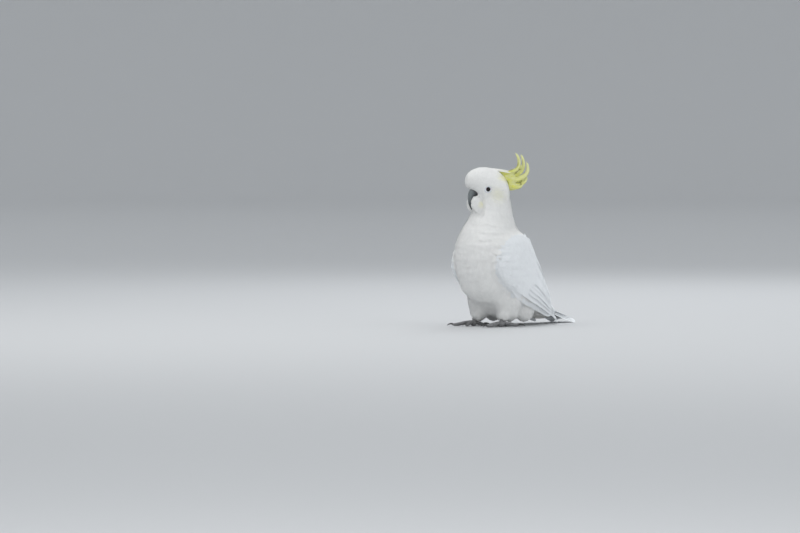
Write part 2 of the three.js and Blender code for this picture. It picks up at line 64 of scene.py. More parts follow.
eyes = {side: middle("eye_" + side) for side in SIDES}
head_left = eyes["left"] - eyes["right"]
head_left /= np.linalg.norm(head_left)
head_forward = np.cross([0, 0, 1.0], head_left) * -1
head_axis = (eyes["left"] + eyes["right"]) / 2 - EYE_FORWARD * head_forward
head_axis[2] = 0
bird_origin = head_axis + [0, HEAD_AHEAD, 0]
bird_origin[0] = 0


def on_bird(points):
    """Points in millimetres of the bird's frame, in metres of the model's frame."""
    return np.asarray(points, float) * MM + bird_origin


def on_head(points):
    """Points (forwards, left, up) in millimetres of the head's frame, in metres of the model's frame."""
    p, q, z = np.moveaxis(np.asarray(points, float) * MM, -1, 0)
    up = np.array([0, 0, 1.0])
    return head_axis + p[..., None] * head_forward + q[..., None] * head_left + z[..., None] * up


def head_direction(vectors):
    p, q, z = np.moveaxis(np.asarray(vectors, float), -1, 0)
    up = np.array([0, 0, 1.0])
    return p[..., None] * head_forward + q[..., None] * head_left + z[..., None] * up


def in_head(points):
    """The head's own coordinates, in millimetres, of points in the model's frame."""
    away = (points - head_axis) / MM
    return np.stack([away @ head_forward, away @ head_left, away[..., 2]], -1)


def in_bird(points):
    """The bird's own coordinates, in millimetres, of points in the model's frame."""
    return (points - bird_origin) / MM


def unit(vectors):
    return vectors / np.maximum(np.linalg.norm(vectors, axis=-1, keepdims=True), 1e-12)


def smoothstep(low, high, value):
    x = np.clip((value - low) / (high - low), 0, 1)
    return x * x * (3 - 2 * x)


def station(rows, t):
    """The rows of a table at t, 0 to 1 along it, on a smooth curve through the rows."""
    rows = np.asarray(rows, float)
    ends = np.concatenate([2 * rows[:1] - rows[1:2], rows, 2 * rows[-1:] - rows[-2:-1]])
    place = np.clip(np.asarray(t, float), 0, 1) * (len(rows) - 1)
    i = np.minimum(place.astype(int), len(rows) - 2)
    f = (place - i)[..., None]
    before, at, after, beyond = (ends[i + k] for k in range(4))
    slope0, slope1 = (after - before) / 2, (beyond - at) / 2
    return (
        (2 * f**3 - 3 * f**2 + 1) * at
        + (f**3 - 2 * f**2 + f) * slope0
        + (3 * f**2 - 2 * f**3) * after
        + (f**3 - f**2) * slope1
    )


# ------------------------------------------------------------------ meshes
def placed(name, data):
    """A new object in the scene that shows this data."""
    obj = bpy.data.objects.new(name, data)
    bpy.context.scene.collection.objects.link(obj)
    return obj


def add_mesh(name, vertices, faces):
    """A smooth object from vertices and from faces of equal width."""
    mesh = bpy.data.meshes.new(name)
    vertices, faces = np.asarray(vertices, np.float32), np.asarray(faces, np.int32)
    width = faces.shape[1]
    mesh.vertices.add(len(vertices))
    mesh.vertices.foreach_set("co", vertices.ravel())
    mesh.loops.add(faces.size)
    mesh.loops.foreach_set("vertex_index", faces.ravel())
    mesh.polygons.add(len(faces))
    mesh.polygons.foreach_set("loop_start", np.arange(0, faces.size, width, dtype=np.int32))
    mesh.update(calc_edges=True)
    return smooth_shaded(placed(name, mesh))


def smooth_shaded(obj):
    obj.data.polygons.foreach_set("use_smooth", [True] * len(obj.data.polygons))
    return obj


def ring_faces(rows, around):
    """Faces of four corners between rows of vertices, each row a closed ring."""
    i, row = np.meshgrid(np.arange(around), np.arange(rows - 1))
    start, turned = row * around, (i + 1) % around
    corners = [start + i, start + turned, start + around + turned, start + around + i]
    return np.stack(corners, -1).reshape(-1, 4)


def evaluated(obj):
    """Replaces the object's mesh by what its modifiers make of it."""
    depsgraph = bpy.context.evaluated_depsgraph_get()
    mesh = bpy.data.meshes.new_from_object(obj.evaluated_get(depsgraph))
    obj.modifiers.clear()
    obj.data = mesh
    return obj


def mesh_of(bm, name):
    mesh = bpy.data.meshes.new(name)
    bm.to_mesh(mesh)
    bm.free()
    return mesh


def joined_nodes(name, nodes):
    """One new object that holds copies of the meshes of CAD nodes."""
    bm = bmesh.new()
    for node in nodes:
        bm.from_mesh(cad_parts[node].data)
    return placed(name, mesh_of(bm, name))


def covered(obj, material):
    """Gives the object this material alone."""
    obj.data.materials.clear()
    obj.data.materials.append(material)
    return obj


def select_only(objects):
    for other in bpy.context.selected_objects:
        other.select_set(False)
    for obj in objects:
        obj.select_set(True)
    bpy.context.view_layer.objects.active = objects[0]


def joined(objects):
    """Joins the objects into the first of them."""
    select_only(objects)
    bpy.ops.object.join()
    return objects[0]


def smoothed(obj, rounds, group=""):
    """Smooths the object, or only the vertices of a group, by their weight in it."""
    smooth = obj.modifiers.new("smooth", "SMOOTH")
    smooth.vertex_group = group
    smooth.iterations = rounds
    return evaluated(obj)


def smoothed_where(obj, weight, rounds):
    """Smooths the object where the weight of each vertex says so."""
    group = obj.vertex_groups.new(name="smooth")
    for i in np.nonzero(weight > 0.02)[0].tolist():
        group.add([i], float(weight[i]), "REPLACE")
    return smoothed(obj, rounds, group.name)


def remeshed(obj, voxel, smoothing):
    remesh = obj.modifiers.new("remesh", "REMESH")
    remesh.mode = "VOXEL"
    remesh.voxel_size = voxel
    return smoothed(evaluated(obj), smoothing)


def each(items, name, kind=np.float32):
    """One property of every item, three numbers each."""
    values = np.zeros(len(items) * 3, kind)
    items.foreach_get(name, values)
    return values.reshape(-1, 3)


def coordinates(mesh):
    return each(mesh.vertices, "co").astype(float)


def normals(mesh):
    return each(mesh.vertices, "normal").astype(float)


def paint(mesh, name, colours):
    """Gives each vertex a colour under this name."""
    layer = mesh.color_attributes.new(name, "FLOAT_COLOR", "POINT")
    opaque = np.concatenate([colours, np.ones((len(colours), 1))], 1)
    layer.data.foreach_set("color", opaque.astype(np.float32).ravel())


def set_coordinates(mesh, co):
    mesh.vertices.foreach_set("co", np.asarray(co, np.float32).ravel())
    mesh.update()


def press(obj, surface, depth):
    """Moves each vertex of the surface's object inwards by its depth."""
    set_coordinates(obj.data, surface.co - surface.no * depth[:, None])
    return obj


class Surface:
    """A closed mesh that gives its nearest point, smooth normal and triangle."""

    def __init__(self, obj):
        mesh = obj.data
        mesh.calc_loop_triangles()
        self.mesh = mesh
        self.co, self.no = coordinates(mesh), normals(mesh)
        self.tris = each(mesh.loop_triangles, "vertices", np.int32)
        self.loops = each(mesh.loop_triangles, "loops", np.int32)
        self.bvh = BVHTree.FromPolygons(self.co.tolist(), self.tris.tolist())

    def weights(self, points, index):
        a, b, c = (self.co[self.tris[index, k]] for k in range(3))
        v0, v1, v2 = b - a, c - a, points - a
        d00, d01, d11 = (v0 * v0).sum(-1), (v0 * v1).sum(-1), (v1 * v1).sum(-1)
        d20, d21 = (v2 * v0).sum(-1), (v2 * v1).sum(-1)
        scale = np.maximum(d00 * d11 - d01 * d01, 1e-30)
        v = (d11 * d20 - d01 * d21) / scale
        w = (d00 * d21 - d01 * d20) / scale
        return np.clip(np.stack([1 - v - w, v, w], -1), 0, 1)

    def nearest(self, points):
        hits = [self.bvh.find_nearest(p) for p in points.tolist()]
        place = np.array([h[0][:] for h in hits])
        index = np.array([h[2] for h in hits])
        weights = self.weights(place, index)
        normal = (self.no[self.tris[index]] * weights[..., None]).sum(1)
        return place, unit(normal), index, weights

    def signed_distance(self, points):
        """Distance out of the surface, below 0 inside it."""
        place, normal, _, _ = self.nearest(points)
        away = points - place
        return np.linalg.norm(away, axis=-1) * np.sign((away * normal).sum(-1))

    def scatter(self, spacing_at, rng, density=7.0):
        """Points on the surface, no two nearer than spacing_at(point)."""
        a, b, c = (self.co[self.tris[:, k]] for k in range(3))
        area = np.linalg.norm(np.cross(b - a, c - a), axis=-1) / 2
        wanted = density * area / spacing_at((a + b + c) / 3) ** 2
        count = int(wanted.sum())
        index = np.sort(rng.choice(len(area), size=count, p=wanted / wanted.sum()))
        r1, r2 = rng.random((2, count))
        flip = r1 + r2 > 1
        r1[flip], r2[flip] = 1 - r1[flip], 1 - r2[flip]
        points = a[index] + (b - a)[index] * r1[:, None] + (c - a)[index] * r2[:, None]
        spacing = spacing_at(points)
        tree = KDTree(count)
        for i, point in enumerate(points.tolist()):
            tree.insert(point, i)
        tree.balance()
        alive, chosen = np.ones(count, bool), []
        for i in rng.permutation(count).tolist():
            if alive[i]:
                chosen.append(i)
                for _, other, _ in tree.find_range(points[i], spacing[i]):
                    alive[other] = False
        return points[chosen]


# ------------------------------------------------------------------ camera, floor and light
VIEW_AZIMUTH, VIEW_ELEVATION = math.radians(40), math.radians(2)
FRAME_WIDTH = 1.76  # metres across the picture at the bird
FRAME_RIGHT, FRAME_UP = -0.2079, 0.1309  # the picture's middle, from the bird's origin
LENS, SENSOR = 200, 36
FLOOR_GREY = (0.60, 0.61, 0.62)


def camera_axes():
    a, e = VIEW_AZIMUTH, VIEW_ELEVATION
    right = np.array([math.cos(a), math.sin(a), 0])
    back = np.array([math.sin(a) * math.cos(e), -math.cos(a) * math.cos(e), math.sin(e)])
    return right, np.cross(back, right), back


def make_camera():
    right, up, back = camera_axes()
    target = bird_origin + right * FRAME_RIGHT + up * FRAME_UP
    data = bpy.data.cameras.new("camera")
    data.lens, data.sensor_width = LENS, SENSOR
    camera = placed("camera", data)
    camera.location = target + back * FRAME_WIDTH / SENSOR * LENS
    camera.rotation_euler = Vector(back).to_track_quat("Z", "Y").to_euler()
    bpy.context.scene.camera = camera


def plain_material(name, colour, roughness):
    material = bpy.data.materials.new(name)
    material.use_nodes = True
    shader = material.node_tree.nodes["Principled BSDF"]
    shader.inputs["Base Color"].default_value = (*colour, 1)
    shader.inputs["Roughness"].default_value = roughness
    return material


def make_stage():
    """A round pale floor that turns up into a far backdrop on every side."""
    flat, bend, top = 13.0, 4.0, 9.0
    profile = [(0.0, 0.0), (flat, 0.0)]
    for a in np.linspace(0, math.pi / 2, 17)[1:]:
        profile.append((flat + bend * math.sin(a), bend * (1 - math.cos(a))))
    profile.append((flat + bend, top))
    angles = np.arange(96) * 2 * math.pi / 96
    vertices = [(r * math.cos(a), r * math.sin(a), z) for r, z in profile for a in angles]
    floor = add_mesh("floor", vertices, ring_faces(len(profile), len(angles)))
    covered(floor, plain_material("floor_grey", FLOOR_GREY, 0.9))


LIT_HEIGHT = 0.18  # the lamps look at the bird's breast
# Each lamp's azimuth and elevation in degrees, distance and size in metres, watts and colour.
LAMPS = [
    ("key", -15, 58, 2.6, 2.0, 20, (1.0, 0.99, 0.97)),
    ("front", 38, 9, 6.4, 1.6, 27, (1.0, 1.0, 1.0)),
    ("low", 78, 4, 3.4, 0.5, 9, (1.0, 0.99, 0.97)),
    ("side", 115, 30, 3.0, 2.4, 9, (0.95, 0.98, 1.0)),
    ("back", 205, 45, 2.8, 1.8, 18, (0.97, 0.98, 1.0)),
]


def area_light(name, azimuth, elevation, distance, size, watts, colour):
    """A square lamp that looks at the bird from a direction given by azimuth and elevation, as the camera's
    is.
    """
    a, e = math.radians(azimuth), math.radians(elevation)
    away = Vector((math.sin(a) * math.cos(e), -math.cos(a) * math.cos(e), math.sin(e)))
    data = bpy.data.lights.new(name, "AREA")
    data.size, data.energy, data.color = size, watts, colour
    lamp = placed(name, data)
    lamp.location = Vector((0, 0, LIT_HEIGHT)) + away * distance
    lamp.rotation_euler = away.to_track_quat("Z", "Y").to_euler()


def make_light():
    world = bpy.data.worlds.new("studio")
    world.use_nodes = True
    sky = world.node_tree.nodes["Background"].inputs
    sky["Color"].default_value = (0.94, 0.97, 1.0, 1)
    sky["Strength"].default_value = 0.78
    bpy.context.scene.world = world
    for lamp in LAMPS:
        area_light(*lamp)
    bpy.context.scene.view_settings.view_transform = "Standard"


# ------------------------------------------------------------------ coat plan
# How the coat lies. Each row: place, direction, then length and depth of the coat, all in millimetres.
# A row holds for both sides of the bird. Body rows are in the bird's frame, head rows in the head's.
BODY_LIE = [
    [0, -56, 240, 0, -0.5, -0.86, 16, 1.4],
    [32, -24, 240, 0.25, -0.1, -0.97, 15, 1.4],
    [0, 32, 250, 0, 0.3, -0.95, 16, 1.4],
    [0, -84, 205, 0, -0.35, -0.94, 21, 1.7],
    [45, -40, 200, 0.25, -0.1, -0.96, 20, 1.7],
    [0, 62, 205, 0, 0.5, -0.87, 23, 1.7],
    [0, -101, 150, 0, 0, -1, 25, 2],
    [50, -60, 150, 0.1, 0.1, -0.99, 24, 2],
    [0, 90, 155, 0, 0.5, -0.87, 27, 2.6],
    [0, -86, 90, 0, 0.35, -0.94, 26, 2.2],
    [46, -55, 90, 0, 0.3, -0.95, 25, 2.2],
    [58, 10, 110, 0, 0.6, -0.8, 25, 2],
    [0, -48, 52, 0, 0.8, -0.6, 21, 3.6],
    [0, 20, 16, 0, 1, -0.1, 23, 3.6],
    [16, 18, 36, 0, 0.35, -0.94, 20, 3.6],
    [16, 106, 31, 0, 0.95, -0.25, 26, 3.2],
    [0, 165, 12, 0, 1, 0.05, 29, 2.8],
    [13, 165, 25, 0, 1, -0.1, 29, 2.8],
    [0, 100, 12, 0, 1, 0, 26, 3.1],
    [0, 120, 115, 0, 0.6, -0.8, 30, 2.6],
    [0, 160, 65, 0, 0.75, -0.66, 39, 2.6],
    [18, 150, 45, 0, 0.9, -0.4, 28, 2.6],
    [40, 70, 70, 0, 0.8, -0.6, 25, 3.1],
    [38, -22, 52, 0, -0.05, -1, 17, 3.6],
    [60, 4, 48, 0.1, 0.05, -1, 17, 3.6],
    [36, 22, 24, 0, 0.3, -0.95, 14, 3.6],
    [36, -14, 16, 0, 0.1, -1, 10, 2.6],
    [14, -5, 45, -0.1, 0.4, -0.9, 17, 3.6],
    [55, 56, 34, 0.1, 0.2, -0.97, 14, 3.0],
    [38, 82, 34, 0, 0.3, -0.95, 14, 3.0],
    [38, 56, 10, 0, 0.9, -0.3, 12, 2.6],
]
HEAD_LIE = [
    [49, 0, 316, -0.05, 0, 1, 4.8, 0.7],
    [46, 0, 330, -0.35, 0, 0.94, 6.6, 0.9],
    [46, 12, 322, -0.5, 0.25, 0.8, 5.7, 0.8],
    [36, 0, 343, -0.85, 0, 0.5, 9.5, 1.2],
    [24, 0, 348, -1, 0, 0.15, 12.3, 1.4],
    [6, 0, 350, -1, 0, 0.0, 16.1, 1.7],
    [-16, 0, 345, -1, 0, -0.15, 19.9, 1.8],
    [-36, 0, 332, -0.95, 0, -0.4, 20.9, 1.8],
    [-50, 0, 306, -0.4, 0, -0.9, 15.2, 1.8],
    [-44, 0, 270, 0.1, 0, -1, 17.1, 1.9],
    [38, 18, 318, -0.95, 0.1, 0.25, 5.7, 0.8],
    [30, 20, 304, -1, 0, 0.05, 4.8, 0.7],
    [24, 21, 330, -1, 0.05, 0.15, 8.5, 1.1],
    [6, 23, 318, -1, 0, 0.1, 6.6, 0.9],
    [17, 22, 302, -1, 0, 0.0, 3.8, 0.6],
    [-4, 25, 302, -1, 0, -0.1, 7.6, 1.0],
    [6, 23, 288, -0.75, 0, -0.65, 6.6, 0.9],
    [-20, 27, 312, -1, 0, -0.25, 14.2, 1.5],
    [-26, 27, 288, -0.75, 0, -0.65, 15.2, 1.7],
    [-10, 27, 268, -0.3, 0, -0.95, 15.2, 1.8],
    [26, 20, 288, 0.15, 0, -0.99, 8.5, 1.1],
    [30, 22, 270, 0.35, 0, -0.94, 10.4, 1.4],
    [22, 21, 254, 0.1, -0.1, -1, 9.5, 1.4],
    [14, 20, 272, -0.1, 0, -1, 11.4, 1.5],
    [12, 0, 252, -0.2, 0, -1, 11.4, 1.7],
    [-30, 22, 262, -0.1, 0, -1, 17.1, 1.9],
]
EYE_RING = 7.6 * MM  # radius of the bare skin round the eye


def lie_rows():
    """The rows of both tables for both sides, as places, directions and sizes in the model's frame."""
    body, head = np.array(BODY_LIE, float), np.array(HEAD_LIE, float)
    places, directions, sizes = [], [], []
    for side in SIDES.values():
        mirror = np.array([side, 1, 1])
        places.append(on_bird(body[:, :3] * mirror))
        directions.append(body[:, 3:6] * mirror)
        sizes.append(body[:, 6:] * MM)
        mirror = np.array([1, side, 1])
        places.append(on_head(head[:, :3] * mirror))
        directions.append(head_direction(head[:, 3:6] * mirror))
        sizes.append(head[:, 6:] * MM)
    return np.concatenate(places), unit(np.concatenate(directions)), np.concatenate(sizes)


lie_places, lie_directions, lie_sizes = lie_rows()


def nearness(points, places, softening):
    """How much each of the places counts at each point."""
    apart = ((points[:, None] - places[None]) ** 2).sum(-1)
    weights = 1 / (apart + softening**2) ** 2
    return weights / weights.sum(1, keepdims=True)


def body_lie(points):
    return unit(nearness(points, lie_places, 3 * MM) @ lie_directions)


def coat_size(points):
    """(length, depth) of the coat at points, in metres."""
    return (nearness(points, lie_places, 3 * MM) @ lie_sizes).T


# ------------------------------------------------------------------ wing frame
# The wing's lower and upper edges from the bend to the tip, in the bird's frame.
WING_EDGES = [
    [60, -76, 150, 58, -68, 178],
    [63, -69, 124, 57, -34, 200],
    [65, -51, 100, 54, 14, 208],
    [65, -22, 82, 40, 57, 199],
    [63, 16, 59, 21, 92, 172],
    [58, 62, 43, 13, 119, 137],
    [51, 105, 31, 11, 141, 102],
    [43, 145, 20, 17, 159, 68],
    [37, 172, 9, 28, 177, 32],
]
wing_samples = station(WING_EDGES, np.linspace(0, 1, 121))
wing_end_way = (wing_samples[-1] - wing_samples[-4]) * (len(wing_samples) - 1) / 3


def wing_point(side, t, c):
    """The point at a share t of the wing's length and c of its depth, on the plane between its edges."""
    past = np.maximum(np.asarray(t, float) - 1, 0)[..., None]
    row = station(WING_EDGES, t) + past * wing_end_way
    c = np.asarray(c, float)[..., None]
    point = row[..., :3] * (1 - c) + row[..., 3:] * c
    return on_bird(point * [SIDES[side], 1, 1])


def wing_place(side, points):
    """The (t, c) of points in the model's frame."""
    local = in_bird(points) * [SIDES[side], 1, 1]
    lower, chord = wing_samples[:, :3], wing_samples[:, 3:] - wing_samples[:, :3]
    share = ((local[:, None] - lower) * chord).sum(-1) / (chord**2).sum(-1)
    foot = lower + np.clip(share, 0, 1)[..., None] * chord
    best = ((local[:, None] - foot) ** 2).sum(-1).argmin(1)
    return best / (len(wing_samples) - 1), np.clip(share[np.arange(len(best)), best], -0.2, 1.2)


def wing_lie(side):
    """The direction of the feathers on a wing: along it towards the tip."""

    def lie(points):
        t, c = wing_place(side, points)
        step = 0.04
        c = np.clip(c, 0, 1)
        along = wing_point(side, np.minimum(t + step, 1), c) - wing_point(side, np.maximum(t - step, 0), c)
        down = wing_point(side, t, 0) - wing_point(side, t, 1)
        return unit(unit(along) + 0.12 * unit(down) * smoothstep(0.5, 0.1, t)[:, None])

    return lie


# ------------------------------------------------------------------ feather shapes
def closed_strip(rows):
    """Faces of a closed strip over equal rings of vertices, with caps at both ends."""
    ring = len(rows[0])
    faces = []
    for a, b in zip(rows[:-1], rows[1:]):
        for i in range(ring):
            j = (i + 1) % ring
            faces += [(a[i], a[j], b[j]), (a[i], b[j], b[i])]
    for end, turned in ((rows[0], False), (rows[-1], True)):
        for i in range(1, ring - 1):
            face = (end[0], end[i + 1], end[i])
            faces.append(face[::-1] if turned else face)
    return faces


class Template:
    """A feather laid out flat: s across, -1 to 1, t along, 0 to 1, rise in half widths, under 1 below it."""

    def __init__(self):
        self.s, self.t, self.rise, self.under, self.faces = [], [], [], [], []

    def ring(self, t, low, high, columns, rise=0.0):
        """A ring of vertices: columns across the top and one below."""
        first = len(self.s)
        self.s += [*np.linspace(low, high, columns), (low + high) / 2]
        self.t += [t] * (columns + 1)
        self.rise += [rise] * (columns + 1)
        self.under += [0.0] * columns + [1.0]
        return list(range(first, len(self.s)))

    def strip(self, rings):
        self.faces += closed_strip(rings)

    def done(self):
        for name in ("s", "t", "rise", "under"):
            setattr(self, name, np.array(getattr(self, name), float))
        self.faces = np.array(self.faces, np.int32)
        return self


def vane_width(t, root, widest):
    """Half width of a vane along it, as a share of its widest."""
    swell = np.sin(np.pi / 2 * np.clip(t / widest, 0, 1)) ** 1.2
    return root + (1 - root) * swell


def contour_template(rng, fingers, rows, columns, split=0.62, fray=0.6):
    """A body feather: a short vane whose end frays into soft, slender, pointed fingers."""
    shape = Template()
    rings = []
    for t in np.linspace(0, split + 0.10, rows):
        half = vane_width(t, 0.25, 0.5) * (1 - 0.45 * smoothstep(split - 0.10, split + 0.10, t))
        rings.append(shape.ring(t, -half, half, columns))
    shape.strip(rings)
    edges = np.linspace(-1, 1, fingers + 1)
    start = split - 0.14
    for left, right in zip(edges[:-1], edges[1:]):
        at = (left + right) / 2
        reach = 1 - 0.34 * abs(at) ** 2.0 - fray * 0.22 * rng.random()
        wide = (right - left) * 0.78
        turn = -0.10 * at + fray * rng.uniform(-0.09, 0.09)
        lift = fray * rng.uniform(-0.01, 0.07)
        finger = []
        for share, taper in ((0.0, 0.85), (0.5, 0.80), (1.0, 0.05)):
            t = start + (reach - start) * share
            middle_s = at * vane_width(t, 0.25, 0.5) * (1 - 0.08 * share) + turn * share**2
            half = wide * taper
            rise = lift * share**1.5 + 0.015
            finger.append(shape.ring(t, middle_s - half, middle_s + half, 2, rise))
        shape.strip(finger)
    return shape.done()


def flight_template(rows, columns, tip):
    """A long stiff vane. tip is the share of its length that rounds off."""
    shape = Template()
    rings = []
    for t in 1 - (1 - np.linspace(0, 1, rows)) ** 1.5:
        end = np.clip((t - (1 - tip)) / tip, 0, 1)
        half = vane_width(t, 0.3, 0.3) * math.sqrt(max(1 - end**2.2, 0.0006))
        rings.append(shape.ring(t, -half, half, columns))
    shape.strip(rings)
    return shape.done()


def sampled(path, t):
    """Values of a path (feather, step, axis) at the shares t of each template vertex."""
    place = np.clip(t, 0, 1) * (path.shape[1] - 1)
    i = np.minimum(place.astype(int), path.shape[1] - 2)
    f = (place - i)[None, :, None]
    return path[:, i] * (1 - f) + path[:, i + 1] * f


PATCH_SIZE = 0.003  # of a feather on the map OFBake


class Coat:
    """Feathers gathered into one mesh: vertices, faces, tints and the patch of the map that each takes."""

    def __init__(self):
        self.vertices, self.faces, self.tints = [], [], []
        self.patches, self.vanes, self.shades = [], [], []
        self.count = 0

    def add(self, shape, path, normal, half_width, camber, thickness, tint, patch, soft=0.5):
        """path and normal are (feather, step, 3); a size is one number, or one for each feather."""
        if not len(path):
            return
        sizes = half_width, camber, thickness
        half_width, camber, thickness = (np.full(len(path), size) for size in sizes)
        along = unit(np.gradient(path, axis=1))
        side = unit(np.cross(along, normal))
        leaning = unit(np.cross(side, along))
        centre, up, across, lean = (sampled(x, shape.t) for x in (path, normal, side, leaning))
        up, across = unit(up), unit(across)
        bow = camber[:, None] * (1 - np.minimum(shape.s**2, 1.4))
        body = np.sqrt(np.clip(1 - shape.t, 0.02, 1))
        height = bow + shape.rise * half_width[:, None] - shape.under * (thickness[:, None] * body)
        points = centre + across * (half_width[:, None] * shape.s)[..., None] + up * height[..., None]
        tilt = 2 * camber[:, None] * shape.s / np.maximum(half_width[:, None], 1e-6)
        shade = up * soft + unit(lean + across * tilt[..., None]) * (1 - soft)
        side_of = np.where(shape.under[shape.faces].max(1) > 0, -1.0, 1.0)
        corner = unit(shade)[:, shape.faces] * side_of[None, :, None, None]
        offsets = (self.count + len(shape.t) * np.arange(len(path)))[:, None, None]
        self.vertices.append(points.reshape(-1, 3))
        self.shades.append(corner.reshape(-1, 3).astype(np.float32))
        self.faces.append((shape.faces[None] + offsets).reshape(-1, 3))
        self.tints.append(np.repeat(tint, len(shape.t), axis=0))
        flat = np.stack([0.5 + shape.s / 2.6, shape.t], -1)
        self.vanes.append(np.tile(flat, (len(path), 1)))
        self.patches.append((patch[:, None] + (flat[None] - 0.5) * PATCH_SIZE).reshape(-1, 2))
        self.count += points.shape[0] * points.shape[1]

    def merge(self, other):
        """Takes in the feathers of another coat."""
        for mine, theirs in zip(self.lists(), other.lists()):
            mine.extend(theirs)
        self.faces[-len(other.faces):] = [faces + self.count for faces in other.faces]
        self.count += other.count

    def lists(self):
        return self.vertices, self.faces, self.tints, self.patches, self.vanes, self.shades

    def build(self, name, material):
        faces = np.concatenate(self.faces)
        obj = add_mesh(name, np.concatenate(self.vertices), faces)
        mesh, corners = obj.data, faces.ravel()
        for layer_name, values in (("OFBake", self.patches), ("Vane", self.vanes)):
            layer = mesh.uv_layers.new(name=layer_name)
            layer.uv.foreach_set("vector", np.concatenate(values)[corners].astype(np.float32).ravel())
        paint(mesh, "Tint", np.concatenate(self.tints))
        mesh.normals_split_custom_set(np.concatenate(self.shades).tolist())
        mesh.materials.append(material)
        return obj


# ------------------------------------------------------------------ skin
SKIN_VOXEL, LEG_VOXEL, CLAW_VOXEL = 2.0 * MM, 0.75 * MM, 0.35 * MM


def outer_surface(name, nodes, voxel=SKIN_VOXEL, smoothing=12):
    """The smooth surface that the feather tips reach."""
    return remeshed(joined_nodes(name, nodes), voxel, smoothing)


def sunk(obj, depth_at):
    """Moves the surface inwards by the coat's depth, but never past the middle of a thin part."""
    surface = Surface(obj)
    co, no = surface.co, surface.no
    starts, ways = (co - no * 0.3 * MM).tolist(), (-no).tolist()
    room = np.array([surface.bvh.ray_cast(c, d)[3] or 1.0 for c, d in zip(starts, ways)])
    return smoothed(press(obj, surface, np.minimum(depth_at(co), 0.35 * room)), 6)


def unwrap(obj):
    """Unwraps the object's own shape into a map named OFBake."""
    select_only([obj])
    obj.data.uv_layers.new(name="OFBake")
    bpy.ops.object.mode_set(mode="EDIT")
    bpy.ops.mesh.select_all(action="SELECT")
    bpy.ops.uv.smart_project(angle_limit=math.radians(75), island_margin=0.004)
    bpy.ops.object.mode_set(mode="OBJECT")


def map_places(surface, points):
    """Where the nearest points of an unwrapped surface lie on its map."""
    layer = surface.mesh.uv_layers["OFBake"]
    uv = np.zeros(len(layer.uv) * 2, np.float32)
    layer.uv.foreach_get("vector", uv)
    _, _, index, weights = surface.nearest(points)
    return (uv.reshape(-1, 2)[surface.loops[index]] * weights[..., None]).sum(1)


# ------------------------------------------------------------------ growing the coat
PATH_STEPS = 7


def traced(surface, lie, roots, length, depth, lift, steps=PATH_STEPS):
    """Feather shafts that rise from the skin and run along the outer surface: paths and normals."""
    place, normal, _, _ = surface.nearest(roots)
    on_surface, ups = [place], [normal]
    for _ in range(steps - 1):
        way = lie(place)
        way = unit(way - normal * (way * normal).sum(-1, keepdims=True))
        place, normal, _, _ = surface.nearest(place + way * (length / (steps - 1))[:, None])
        on_surface.append(place)
        ups.append(normal)
    on_surface, ups = np.stack(on_surface, 1), np.stack(ups, 1)
    t = np.linspace(0, 1, steps)[None, :]
    height = -depth[:, None] * (1 - t) ** 1.25 + lift[:, None] * t**2.5
    return on_surface + ups * height[..., None], ups


def jittered(rng, values, amount):
    return values * (1 + amount * rng.uniform(-1, 1, len(values)))


WHITE = np.array([0.93, 0.93, 0.915])
# Bluish grey white of the wings, their coverts and the tail: painted shade, the bluish sky light that falls
# on the wing's side.
PAINTED_SKY_COOL = np.array([0.89, 0.915, 0.935])
CREAM = np.array([0.94, 0.92, 0.86])
LEMON = np.array([0.90, 0.86, 0.30])
# Yellow washes on the head: their middle and reach in the head's frame, and their strength.
WASHES = [
    ([-12, 26, 293], [15, 12, 13], 0.2),  # the ear coverts
    ([20, 23, 275], [4.5, 7, 6], 0.45),  # a small spot beside the bill
    ([-26, 17, 331], [11, 14, 10], 0.7),  # before the crest
]


def plumage_tint(points, rng):
    """The colour of the feather rooted at each point."""
    head = in_head(points)
    head[:, 1] = np.abs(head[:, 1])
    colour = np.repeat(WHITE[None], len(points), 0)
    wash = 0
    for centre, reach, strength in WASHES:
        wash = wash + strength * np.exp(-(((head - centre) / reach) ** 2).sum(-1))
    wash = np.clip(wash, 0, 1)[:, None]
    colour = colour * (1 - wash) + LEMON * wash
    # cream on the thighs and the belly, from below the breast
    under = smoothstep(75 * MM, 35 * MM, points[:, 2]) * smoothstep(-20 * MM, 50 * MM, points[:, 1])
    colour = colour * (1 - 0.5 * under[:, None]) + CREAM * 0.5 * under[:, None]
    return colour * (1 + 0.03 * rng.uniform(-1, 1, (len(points), 1)))


